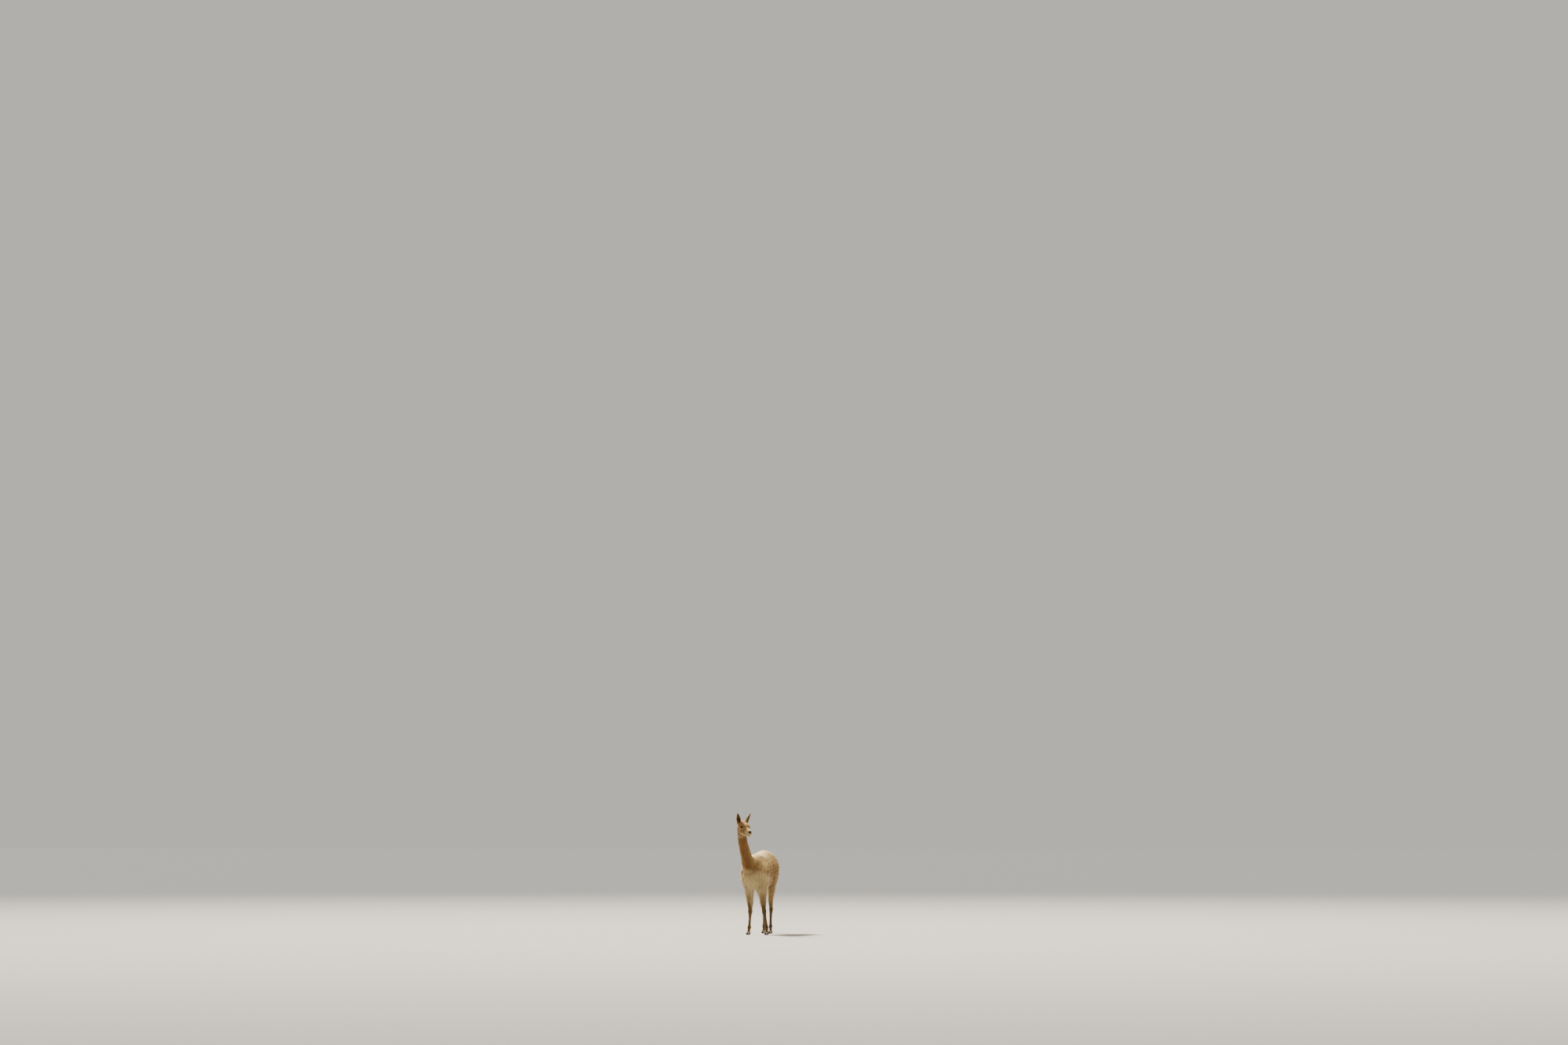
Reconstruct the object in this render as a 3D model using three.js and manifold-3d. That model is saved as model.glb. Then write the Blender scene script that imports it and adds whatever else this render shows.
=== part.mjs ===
// A life-size vicuna, standing still with its head turned to its left.
// Millimetres, +Z up. The animal faces -Y, and its left side is +X.
import * as THREE from 'three';
import { mergeVertices } from 'three/addons/utils/BufferGeometryUtils.js';
import Module from 'manifold-3d';

const wasm = await Module();
wasm.setup();

// Driving sizes of the animal
const GAP = 0.35; // left between nodes that touch
const SKULL_HEIGHT = 1178; // joint of skull and neck above the floor
const HEAD_TURN = THREE.MathUtils.degToRad(40.5); // to the animal's left
const HEAD_NOD = THREE.MathUtils.degToRad(9); // nose down
const CLUMP = { rows: 4, columns: 4, high: 27 }; // of the torso's rings and sides, and in millimetres
const CLUMP_BED = 15; // how far the seams between clumps lie under the fleece's mean surface
const BIB_LOCK = { wide: 17, thick: 9, long: 50 };
const TAIL_LOCK = { wide: 25, thick: 10, long: 108 };
const FOOT_WIDTH = 46;
const EAR_LENGTH = 124;
const EYE_RADIUS = 17.5;
const TAIL_LENGTH = 215;

const v = (x, y, z) => new THREE.Vector3(x, y, z);
const lerp = THREE.MathUtils.lerp;
const X = v(1, 0, 0);

// A seeded draw, so that every build is the same
function seeded(seed) {
  let state = seed;
  return () => {
    state = (state * 1664525 + 1013904223) % 4294967296;
    return state / 4294967296;
  };
}

// Implicit forms: each gives a distance in millimetres that is below zero inside.
// An egg is an ellipsoid with its half sizes, leaned about X by tilt.
function egg(centre, half, tilt = 0) {
  const c = Math.cos(tilt);
  const s = Math.sin(tilt);
  return (p) => {
    const dy = p.y - centre.y;
    const dz = p.z - centre.z;
    const x = (p.x - centre.x) / half.x;
    const y = (dy * c + dz * s) / half.y;
    const z = (dz * c - dy * s) / half.z;
    const k0 = Math.hypot(x, y, z);
    const k1 = Math.hypot(x / half.x, y / half.y, z / half.z);
    return k1 < 1e-9 ? -Math.min(half.x, half.y, half.z) : (k0 * (k0 - 1)) / k1;
  };
}

// A limb is a round bar that tapers from radius ra at a to rb at b; width narrows it sideways.
function limb(a, ra, b, rb, width = 1) {
  const along = b.clone().sub(a);
  return (p) => {
    const t = THREE.MathUtils.clamp(p.clone().sub(a).dot(along) / along.lengthSq(), 0, 1);
    const q = p.clone().sub(a).addScaledVector(along, -t);
    q.x /= width;
    return (q.length() - lerp(ra, rb, t)) * Math.min(1, width + 0.1);
  };
}

// A tube follows a smooth curve through its stations: a point, a radius and how narrow it is
function tube(stations) {
  const path = new THREE.CatmullRomCurve3(stations.map(([p]) => p), false, 'centripetal');
  const pieces = [];
  const steps = 5;
  for (let i = 0; i + 1 < stations.length; i += 1) {
    const [, ra, wa] = stations[i];
    const [, rb, wb] = stations[i + 1];
    for (let j = 0; j < steps; j += 1) {
      const at = (k) => path.getPoint((i + k / steps) / (stations.length - 1));
      const ease = (a, b, k) => lerp(a, b, THREE.MathUtils.smoothstep(k / steps, 0, 1));
      pieces.push(limb(at(j), ease(ra, rb, j), at(j + 1), ease(ra, rb, j + 1), ease(wa, wb, j + 0.5)));
    }
  }
  return (p) => Math.min(...pieces.map((piece) => piece(p)));
}

// Forms that melt into each other over the distance k
function blend(k, ...forms) {
  return (p) => {
    let d = 1e9;
    for (const form of forms) {
      const e = form(p);
      const h = Math.max(k - Math.abs(d - e), 0) / k;
      d = Math.min(d, e) - (h * h * k) / 4;
    }
    return d;
  };
}

const bothSides = (make) => [make(1), make(-1)];

// The distance from a point inside a field to its surface, in one direction
function reachOf(field, from, direction, level) {
  const step = 6;
  let low = 0;
  let high = step;
  const at = (r) => field(from.clone().addScaledVector(direction, r)) - level;
  while (at(high) < 0 && high < 900) {
    low = high;
    high += step;
  }
  for (let i = 0; i < 14; i += 1) {
    const middle = (low + high) / 2;
    if (at(middle) < 0) low = middle;
    else high = middle;
  }
  return (low + high) / 2;
}

// A closed sheet drawn over a field: rings square to a path inside it, and a dome at each end.
// sway moves a vertex along the rows, and relief raises it.
function wrap(field, points, { sides, rings, dome = 4, level = 0, sway = () => 0, relief = () => 0 }) {
  const path = new THREE.CatmullRomCurve3(points, false, 'centripetal');
  const geometry = new THREE.SphereGeometry(1, sides, rings);
  const position = geometry.attributes.position;
  for (let row = 0; row <= rings; row += 1) {
    for (let column = 0; column <= sides; column += 1) {
      const place = row + sway(row, column % sides);
      const t = THREE.MathUtils.clamp((place - dome) / (rings - 2 * dome), 0, 1);
      const fromEnd = THREE.MathUtils.clamp(Math.min(place, rings - place), 0, dome);
      const lift = (fromEnd / dome) * (Math.PI / 2);
      const from = path.getPointAt(t);
      const tangent = path.getTangentAt(t);
      const across = X.clone().addScaledVector(tangent, -X.dot(tangent)).normalize();
      const other = tangent.clone().cross(across);
      const turn = ((column % sides) / sides) * Math.PI * 2;
      const direction = tangent.clone().multiplyScalar((row * 2 < rings ? -1 : 1) * Math.cos(lift))
        .addScaledVector(across, -Math.cos(turn) * Math.sin(lift))
        .addScaledVector(other, Math.sin(turn) * Math.sin(lift));
      const reach = reachOf(field, from, direction, level) + relief(row, column % sides, direction);
      const p = from.addScaledVector(direction, reach);
      position.setXYZ(row * (sides + 1) + column, p.x, p.y, p.z);
    }
  }
  return geometry;
}

// Closed geometry to a manifold solid and back
function solid(geometry, matrix = null) {
  const g = geometry.clone();
  if (matrix) g.applyMatrix4(matrix);
  g.deleteAttribute('normal');
  g.deleteAttribute('uv');
  const m = mergeVertices(g, 1e-4);
  return new wasm.Manifold(new wasm.Mesh({
    numProp: 3,
    vertProperties: new Float32Array(m.attributes.position.array),
    triVerts: new Uint32Array(m.index.array),
  }));
}

const join = (...solids) => solids.flat().reduce((a, b) => a.add(b));

// Only the largest closed surface: loose scraps go, and sealed hollows are filled
function whole(body) {
  return body.decompose().reduce((a, b) => (b.volume() > a.volume() ? b : a));
}

function geometryOf(body) {
  const mesh = whole(body).getMesh();
  const geometry = new THREE.BufferGeometry();
  geometry.setAttribute('position', new THREE.BufferAttribute(mesh.vertProperties, 3));
  geometry.setIndex(new THREE.BufferAttribute(mesh.triVerts, 1));
  geometry.computeVertexNormals();
  return geometry;
}

// Materials, in the coat's own colours
const finish = (color, roughness) => new THREE.MeshStandardMaterial({ color, roughness, metalness: 0 });
const FAWN = finish(0xb98a55, 0.95);
const CINNAMON = finish(0xa9713d, 0.95);
const CREAM = finish(0xe6d9bd, 0.95);
const EYE = finish(0x1c120c, 0.12);
const NAIL = finish(0x2e2620, 0.5);

// The torso at the mean height of its fleece: barrel, hanging flanks, loin, rump, thighs,
// shoulders, brisket and root of the neck
const torsoForm = blend(
  50,
  egg(v(0, -110, 700), v(150, 250, 184)),
  ...bothSides((s) => egg(v(s * 76, -70, 625), v(72, 200, 112))),
  egg(v(0, 115, 735), v(152, 250, 172)),
  egg(v(0, 245, 765), v(146, 190, 162), -0.2),
  ...bothSides((s) => egg(v(s * 80, 262, 700), v(74, 126, 150), 0.25)),
  egg(v(84, 218, 622), v(58, 92, 106), 0.35),
  egg(v(-74, 262, 622), v(58, 92, 106), 0.35),
  ...bothSides((s) => egg(v(s * 86, -240, 660), v(68, 104, 146), -0.15)),
  egg(v(0, -318, 650), v(108, 84, 122)),
  egg(v(0, -195, 800), v(72, 160, 86)),
  limb(v(-4, -262, 730), 100, v(-40, -350, 785), 70, 0.8),
);
const TORSO_PATH = [v(0, -320, 690), v(0, -150, 705), v(0, 110, 740), v(0, 290, 765)];

// Rounded clumps of fleece in staggered rows. Their seams zigzag, so that each has six sides,
// and each stands highest near its free end, over the next. They die out at the two ends.
const FLEECE = { sides: 52, rings: 48 };

function fleeceSway(row, column) {
  const zigzag = (line) => 0.6 * Math.cos(Math.PI * ((2 * column) / CLUMP.columns + line));
  const line = Math.floor(row / CLUMP.rows);
  const drift = 0.7 * Math.sin((column / FLEECE.sides) * 6 * Math.PI + row * 0.4);
  const fade = Math.min(1, (4 * row * (FLEECE.rings - row)) / FLEECE.rings ** 2);
  return (lerp(zigzag(line), zigzag(line + 1), row / CLUMP.rows - line) + drift) * fade;
}

function fleece() {
  const draw = seeded(7);
  const around = FLEECE.sides / CLUMP.columns;
  const size = Array.from({ length: (FLEECE.rings / CLUMP.rows + 1) * around }, () => 0.72 + draw() * 0.5);
  return (row, column, direction) => {
    const line = Math.floor(row / CLUMP.rows);
    const along = (row % CLUMP.rows) / CLUMP.rows;
    const turned = column / CLUMP.columns + (line % 2) / 2;
    const across = (turned % 1) * 2 - 1;
    const high = size[line * around + (Math.floor(turned) % around)];
    const swell = (1 - across ** 4) * Math.sin(Math.PI * along ** 1.25) ** 0.5;
    const ends = THREE.MathUtils.smoothstep(1 - Math.abs(direction.y), 0.06, 0.45);
    return CLUMP.high * lerp(0.35, high * swell, ends) * (direction.z < -0.7 ? 0.5 : 1);
  };
}

// A copy of a shape laid on a surface: its x goes along the coat, its z out of the skin
function laid(shape, at, along, out) {
  const lie = along.clone().addScaledVector(out, -along.dot(out)).normalize();
  const basis = new THREE.Matrix4().makeBasis(lie, out.clone().cross(lie), out);
  return solid(shape.clone().applyMatrix4(basis).translate(at.x, at.y, at.z));
}

// A flat lock of long hair that tapers to its tip, along x
function lock({ wide, thick, long }, grow) {
  const profile = [[0, -0.2], [0.9, 0.1], [0.8, 0.55], [0, 1]];
  const points = profile.map(([r, x]) => new THREE.Vector2(r, x));
  const shape = new THREE.LatheGeometry(points, 5).rotateZ(-Math.PI / 2);
  return shape.scale(long + grow, wide + grow, thick + grow);
}

// Locks hang in rows from the brisket, between and before the forelegs
function bib(grow) {
  const draw = seeded(3);
  const locks = [];
  for (let row = 0; row < 3; row += 1) {
    const across = 5 - (row % 2);
    for (let i = 0; i < across; i += 1) {
      const x = (i - (across - 1) / 2) * 30 + (draw() - 0.5) * 8;
      const y = -366 + row * 46;
      const reach = reachOf(torsoForm, v(0, -300, 680), v(x, y + 300, -125).normalize(), -CLUMP_BED);
      const at = v(0, -300, 680).addScaledVector(v(x, y + 300, -125).normalize(), reach);
      const out = v(x * 0.004, -1, 0.1).normalize();
      locks.push(laid(lock(BIB_LOCK, grow), at, v(0, 0.25 + draw() * 0.2, -1), out));
    }
  }
  return locks;
}

function torsoSolid(grow) {
  const coat = wrap(torsoForm, TORSO_PATH, {
    ...FLEECE, dome: 12, level: grow - CLUMP_BED, sway: fleeceSway, relief: fleece(),
  });
  return join([solid(coat), ...bib(grow)]);
}

// The neck bends to the animal's right out of the chest, and ends behind the skull
const NECK_STATIONS = [
  [v(-4, -252, 700), 114, 0.78],
  [v(-44, -342, 775), 98, 0.68],
  [v(-62, -436, 895), 71, 0.8],
  [v(-73, -512, 1010), 59, 0.88],
  [v(-80, -556, 1105), 52, 0.92],
  [v(-86, -576, 1186), 42, 1],
];
const NECK_PATH = NECK_STATIONS.map(([p]) => p);
const neckForm = tube(NECK_STATIONS);

// The head, in its own frame: the joint with the neck at its origin, nose towards -Y
const headForm = blend(
  20,
  egg(v(0, -40, 28), v(52, 64, 50)),
  egg(v(0, -24, 54), v(38, 40, 34)),
  egg(v(0, -80, 38), v(46, 38, 29)),
  limb(v(0, -84, 10), 44, v(0, -168, -12), 31, 0.88),
  egg(v(0, -186, -8), v(23, 19, 19)),
  limb(v(0, -34, -24), 38, v(0, -160, -44), 20, 0.88),
  egg(v(0, -172, -52), v(18, 18, 13)),
  ...bothSides((s) => egg(v(s * 30, -60, -10), v(24, 46, 38))),
  ...bothSides((s) => egg(v(s * 33, -84, 31), v(20, 27, 22))),
  ...bothSides((s) => egg(v(s * 11, -182, -26), v(15, 21, 15))),
  ...bothSides((s) => egg(v(s * 38, -10, 60), v(19, 17, 24))),
);
const HEAD_PATH = [v(0, -16, 8), v(0, -60, 6), v(0, -120, -8), v(0, -168, -24)];
const headSolid = (level, matrix = null) => solid(
  wrap(headForm, HEAD_PATH, { sides: 24, rings: 31, dome: 7, level }), matrix,
);

const eyePlace = (s) => v(s * 37.5, -86, 31);
const eyeBall = (s, grow) => {
  const ball = new THREE.SphereGeometry(EYE_RADIUS + grow, 12, 8);
  ball.rotateZ((s * Math.PI) / 2);
  const at = eyePlace(s);
  ball.translate(at.x, at.y, at.z);
  return solid(ball);
};

// The lids are a slightly larger ball over the eye, with an almond cut through it
function lidBall(s) {
  const lid = new THREE.SphereGeometry(EYE_RADIUS + 2.6, 14, 9);
  const at = eyePlace(s);
  lid.translate(at.x, at.y, at.z);
  return solid(lid);
}

function almond(s) {
  const shape = new THREE.Shape();
  shape.moveTo(-15, s * 2);
  shape.quadraticCurveTo(-4, s * 20, 16, -s * 3);
  shape.quadraticCurveTo(2, -s * 19, -15, s * 2);
  const cut = new THREE.ExtrudeGeometry(shape, { depth: 40, bevelEnabled: false, curveSegments: 6 });
  const outward = v(s * 0.9, -0.42, 0.08).normalize();
  const forward = v(0, -1, -0.1).addScaledVector(outward, -v(0, -1, -0.1).dot(outward)).normalize();
  const up = outward.clone().cross(forward);
  const at = eyePlace(s).addScaledVector(outward, 3);
  cut.applyMatrix4(new THREE.Matrix4().makeBasis(forward, up, outward).setPosition(at));
  return solid(cut);
}

// A narrow groove all round the muzzle, as deep as depth, where the slab meets the skin
function groove(slab, depth) {
  return solid(slab).subtract(headSolid(-depth));
}

// The line of the mouth, the cleft of the upper lip and two slanted nostrils
function muzzleCuts() {
  const mouth = new THREE.BoxGeometry(90, 56, 1.8).rotateX(0.1).translate(0, -184, -35);
  const cleft = new THREE.BoxGeometry(1.8, 40, 22).translate(0, -200, -24);
  const nostrils = bothSides((s) => {
    const hole = new THREE.SphereGeometry(1, 10, 6).scale(2.8, 7, 6.2);
    hole.rotateY(s * 0.55);
    hole.translate(s * 10.5, -201, -7);
    return solid(hole);
  });
  return join(groove(mouth, 2.6), groove(cleft, 2), nostrils);
}

const earRoot = (s) => v(s * 42, -8, 66);
const earAim = (s) => v(s * 0.3, -0.2, 0.93).normalize();
const earOpen = (s) => v(s * 0.5, -0.86, -0.25);

// A spear-shaped ear: a flattened lathe with a cup scooped out of its open side
function earSolid(s) {
  const leaf = (grow, tip) => {
    const profile = [[0, -20], [14, -13], [19, 8], [23, 34], [21, 62], [12, 96], [0, tip]];
    const points = profile.map(([r, z]) => new THREE.Vector2(r === 0 ? 0 : r + grow, z));
    return new THREE.LatheGeometry(points, 12).rotateX(Math.PI / 2);
  };
  const aim = earAim(s);
  const open = earOpen(s).addScaledVector(aim, -earOpen(s).dot(aim)).normalize();
  const across = open.clone().cross(aim);
  const basis = new THREE.Matrix4().makeBasis(across, open, aim).setPosition(earRoot(s));
  const outer = leaf(0, EAR_LENGTH).applyMatrix4(new THREE.Matrix4().makeScale(1.1, 0.72, 1));
  const scoop = leaf(-3.2, EAR_LENGTH - 12)
    .applyMatrix4(new THREE.Matrix4().makeScale(1.06, 0.95, 1)).translate(0, 9.5, 5);
  return solid(outer, basis).subtract(solid(scoop, basis));
}

// Leg joints from the top down. Knees and hocks are the named heights above the floor.
const KNEE = 265;
const HOCK = 272;
const FETLOCK = 84;
const LEGS = {
  foreleg_right: {
    top: v(-66, -258, 600), elbow: v(-60, -258, 510), mid: v(-50, -266, 385), knee: v(-45, -276, KNEE),
    cannon: v(-51, -270, 170), fetlock: v(-58, -266, FETLOCK), foot: v(-62, -285, 22),
  },
  foreleg_left: {
    top: v(80, -256, 600), elbow: v(84, -256, 510), mid: v(94, -260, 385), knee: v(108, -264, KNEE),
    cannon: v(122, -258, 170), fetlock: v(134, -252, FETLOCK), foot: v(142, -270, 22),
  },
  hindleg_left: {
    top: v(84, 214, 630), elbow: v(87, 208, 535), mid: v(73, 238, 390), knee: v(69, 272, HOCK),
    cannon: v(69, 258, 170), fetlock: v(70, 246, FETLOCK), foot: v(76, 225, 22),
  },
  hindleg_right: {
    top: v(-72, 262, 630), elbow: v(-60, 280, 535), mid: v(-44, 345, 390), knee: v(-40, 405, HOCK),
    cannon: v(-37, 402, 170), fetlock: v(-34, 396, FETLOCK), foot: v(-34, 376, 22),
  },
};
const FORE = { top: 66, elbow: 64, mid: 45, knee: 25, cannon: 16, fetlock: 18, foot: 19 };
const HIND = { top: 84, elbow: 61, mid: 35, knee: 22, cannon: 16.5, fetlock: 18, foot: 19 };

function legForm(name) {
  const hind = name.startsWith('hind');
  const joints = LEGS[name];
  const radii = hind ? HIND : FORE;
  const stations = Object.keys(joints).map((key) => [joints[key], radii[key], 0.8]);
  const joint = joints.knee.clone().add(v(0, hind ? 9 : -3, hind ? 4 : -2));
  return blend(
    14,
    tube(stations),
    egg(joint, hind ? v(20, 23, 32) : v(22, 22, 34)),
    egg(joints.fetlock, v(18, 20, 21)),
  );
}

// Two toes to a foot, each a soft pad with a nail at its tip, side by side along the foot
function toe(name, s, grow) {
  const { foot } = LEGS[name];
  const pad = new THREE.SphereGeometry(1, 10, 7);
  pad.scale(FOOT_WIDTH / 4 + 1 + grow, 38 + grow, 20 + grow);
  pad.rotateX(0.18);
  pad.rotateZ(s * 0.06);
  pad.translate(foot.x + s * (FOOT_WIDTH / 4 - 0.5), foot.y - 16, 15);
  return solid(pad);
}

function nailSolid(name, s) {
  const { foot } = LEGS[name];
  const nail = new THREE.SphereGeometry(1, 7, 4);
  nail.scale(8.5, 18, 9.5);
  nail.rotateX(0.5);
  nail.rotateZ(s * 0.06);
  nail.translate(foot.x + s * (FOOT_WIDTH / 4 + 0.5), foot.y - 49, 14);
  return solid(nail);
}

// Everything below a height is cut away, which leaves flat soles at one level
const above = (body, z) => body.trimByPlane([0, 0, 1], z);

function legSolid(name, grow = 0) {
  const path = Object.values(LEGS[name]);
  const shank = wrap(legForm(name), path, { sides: 12, rings: 26, dome: 2, level: grow });
  return join(solid(shank), toe(name, 1, grow), toe(name, -1, grow));
}

// The tail hangs from the back of the rump
const TAIL_STATIONS = [
  [v(0, 372, 822), 28, 1.05],
  [v(0, 428, 798), 34, 1.05],
  [v(0, 456, 735), 40, 1.05],
  [v(0, 458, 668), 36, 1.05],
  [v(0, 450, 802 - TAIL_LENGTH), 16, 1.05],
];
const TAIL_PATH = TAIL_STATIONS.map(([p]) => p);
const tailForm = tube(TAIL_STATIONS);

// Its core, thinner than the coat, and locks in rings that point down it and stand off a little
function tailSolid() {
  const draw = seeded(11);
  const core = wrap(tailForm, TAIL_PATH, { sides: 8, rings: 10, dome: 3, level: -8 });
  const path = new THREE.CatmullRomCurve3(TAIL_PATH, false, 'centripetal');
  const locks = [];
  for (let row = 0; row < 3; row += 1) {
    const t = 0.26 + row * 0.2;
    const from = path.getPointAt(t);
    const tangent = path.getTangentAt(t);
    for (let i = 0; i < 4; i += 1) {
      const turn = ((i + (row % 2) * 0.5 + (draw() - 0.5) * 0.3) / 4) * Math.PI * 2;
      const side = X.clone().multiplyScalar(Math.cos(turn));
      const direction = side.addScaledVector(tangent.clone().cross(X), Math.sin(turn));
      const at = from.clone().addScaledVector(direction, reachOf(tailForm, from, direction, -12));
      const size = { ...TAIL_LOCK, long: TAIL_LOCK.long * (0.85 + draw() * 0.3) };
      const out = direction.clone().addScaledVector(tangent, -0.12).normalize();
      locks.push(laid(lock(size, 0), at, tangent, out));
    }
  }
  return join([solid(core), ...locks]);
}

// Assembly
const vicuna = new THREE.Group();
const body = new THREE.Group();
vicuna.add(body);
const head = new THREE.Group();
head.position.set(-80, -566, SKULL_HEIGHT);
head.rotation.set(HEAD_NOD, 0, HEAD_TURN, 'ZYX');
body.add(head);
vicuna.updateMatrixWorld(true);

function addNode(parent, name, shape, material) {
  const mesh = new THREE.Mesh(geometryOf(shape), material);
  mesh.name = name;
  parent.add(mesh);
}

const torsoGrown = torsoSolid(GAP);
const headGrown = headSolid(GAP);
const headInBody = headSolid(GAP, head.matrix);

addNode(body, 'torso', torsoSolid(0), FAWN);

const neck = solid(wrap(neckForm, NECK_PATH, { sides: 16, rings: 19, dome: 3 }));
addNode(body, 'neck', neck.subtract(torsoGrown).subtract(headInBody), CINNAMON);

let skull = headSolid(0).subtract(muzzleCuts());
for (const s of [1, -1]) {
  skull = skull.add(lidBall(s)).subtract(eyeBall(s, 0.3)).subtract(almond(s));
}
addNode(head, 'head', skull, CINNAMON);
for (const [side, s] of [['left', 1], ['right', -1]]) {
  addNode(head, `ear_${side}`, earSolid(s).subtract(headGrown), CINNAMON);
  addNode(head, `eye_${side}`, eyeBall(s, 0), EYE);
}

for (const name of Object.keys(LEGS)) {
  addNode(body, name, above(legSolid(name).subtract(torsoGrown), 0), CREAM);
  const grown = legSolid(name, GAP);
  for (const [side, s] of [['left', 1], ['right', -1]]) {
    addNode(body, `nail_${name}_${side}`, above(nailSolid(name, s).subtract(grown), 2), NAIL);
  }
}

addNode(body, 'tail', tailSolid().subtract(torsoGrown), FAWN);

// The origin is on the floor, under the middle of the whole animal's box
const box = new THREE.Box3().setFromObject(vicuna, true);
body.position.set(-(box.min.x + box.max.x) / 2, -(box.min.y + box.max.y) / 2, -box.min.z);
vicuna.updateMatrixWorld(true);

export default vicuna;
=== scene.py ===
import itertools
import math

import bmesh
import bpy
import numpy as np
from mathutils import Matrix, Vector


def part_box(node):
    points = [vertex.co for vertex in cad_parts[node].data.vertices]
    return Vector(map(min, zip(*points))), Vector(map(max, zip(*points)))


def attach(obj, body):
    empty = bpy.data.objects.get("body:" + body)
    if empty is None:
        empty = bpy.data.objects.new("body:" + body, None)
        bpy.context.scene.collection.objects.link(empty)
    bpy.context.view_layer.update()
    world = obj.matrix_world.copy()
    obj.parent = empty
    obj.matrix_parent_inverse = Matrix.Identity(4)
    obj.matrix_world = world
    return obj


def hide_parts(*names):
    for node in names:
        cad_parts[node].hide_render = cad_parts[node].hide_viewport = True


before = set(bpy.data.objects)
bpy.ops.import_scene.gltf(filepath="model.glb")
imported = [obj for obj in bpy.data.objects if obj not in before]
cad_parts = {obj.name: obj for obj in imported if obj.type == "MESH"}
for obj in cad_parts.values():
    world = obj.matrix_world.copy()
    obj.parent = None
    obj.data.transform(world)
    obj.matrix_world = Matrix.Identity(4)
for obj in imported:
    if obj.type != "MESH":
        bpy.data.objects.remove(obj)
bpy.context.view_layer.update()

import openvdb
from mathutils import Matrix, Vector

bl_info = {
    "name": "Standing Vicuna",
    "version": (1, 0, 0),
    "blender": (4, 5, 0),
    "location": "View3D > Sidebar > Vicuna",
    "description": "Dresses the solid vicuna with skin, fleece, hair, eyes, nails and studio",
    "category": "Object",
}

MM = 0.001

# Sizes in millimetres that the flesh shares with the solids. The animal faces -Y, its left is +X.
HEAD_PLACE = (-80, -566, 1178)
HEAD_TURN = math.radians(40.5)
HEAD_NOD = math.radians(9)
EYE_RADIUS = 17.5
LID_HALF_WIDTH, LID_HALF_HEIGHT, LID_LEAN = 15.5, 9.5, 0.17
HEAD_HAIR_DEPTH = 2.2
EAR_LENGTH, EAR_FOOT = 124, -18
FOOT_WIDTH = 46
FLESH_REACH = 60
SIDES = (("left", 1), ("right", -1))
PATCH_SIZE = 0.003
SHEEN_TINT = (1.0, 0.84, 0.62, 1.0)


# Forms

def smooth_min(d, e, k):
    h = np.maximum(k - np.abs(d - e), 0) / k
    return np.minimum(d, e) - h * h * k / 4


def smooth_max(d, e, k):
    return -smooth_min(-d, -e, k)


def length(rows):
    return np.sqrt((rows * rows).sum(-1))


def unit(rows):
    return rows / np.maximum(length(rows), 1e-9)[..., None]


def smoothstep(x, low, high):
    t = np.clip((x - low) / (high - low), 0, 1)
    return t * t * (3 - 2 * t)


def turned(u, w, angle):
    """The two parts of a point in a plane after a turn about the plane's origin."""
    c, s = math.cos(angle), math.sin(angle)
    return u * c + w * s, w * c - u * s


def level(rows, n):
    """What is left of directions without their part along n."""
    return rows - n * (rows * n).sum(1)[:, None]


class Form:
    """A distance in millimetres, below zero inside, with the box that holds the form."""

    def __init__(self, distance, low, high):
        self.distance = distance
        self.low = np.array(low, float)
        self.high = np.array(high, float)

    def __call__(self, p):
        return self.distance(p)


def egg(centre, half, tilt=0.0):
    """An ellipsoid with its half sizes, leaned about X by tilt."""
    centre, half = np.array(centre, float), np.array(half, float)

    def distance(p):
        d = p - centre
        q = np.stack((d[:, 0], *turned(d[:, 1], d[:, 2], tilt)), 1) / half
        near, slope = length(q), np.maximum(length(q / half), 1e-9)
        return near * (near - 1) / slope

    return Form(distance, centre - half.max(), centre + half.max())


def limb(a, ra, b, rb, width=1.0):
    """A round bar that tapers from radius ra at a to rb at b; width narrows it sideways."""
    a, b = np.array(a, float), np.array(b, float)
    along = b - a

    def distance(p):
        q = p - a
        t = np.clip(q @ along / (along @ along), 0, 1)
        q = q - t[:, None] * along
        q[:, 0] /= width
        return (length(q) - (ra + (rb - ra) * t)) * min(1, width + 0.1)

    reach = max(ra, rb)
    return Form(distance, np.minimum(a, b) - reach, np.maximum(a, b) + reach)


def curve_point(points, t):
    """A point on a centripetal curve through the points, for t from 0 to 1."""
    points = np.array(points, float)
    place = (len(points) - 1) * t
    i = min(int(place), len(points) - 2)
    w = place - i
    p1, p2 = points[i], points[i + 1]
    p0 = points[i - 1] if i > 0 else 2 * points[0] - points[1]
    p3 = points[i + 2] if i + 2 < len(points) else 2 * points[-1] - points[-2]
    g0, g1, g2 = (math.sqrt(math.dist(a, b)) for a, b in ((p0, p1), (p1, p2), (p2, p3)))
    start = ((p1 - p0) / g0 - (p2 - p0) / (g0 + g1) + (p2 - p1) / g1) * g1
    end = ((p2 - p1) / g1 - (p3 - p1) / (g1 + g2) + (p3 - p2) / g2) * g1
    square = -3 * p1 + 3 * p2 - 2 * start - end
    cube = 2 * p1 - 2 * p2 + start + end
    return p1 + start * w + square * w ** 2 + cube * w ** 3


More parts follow.
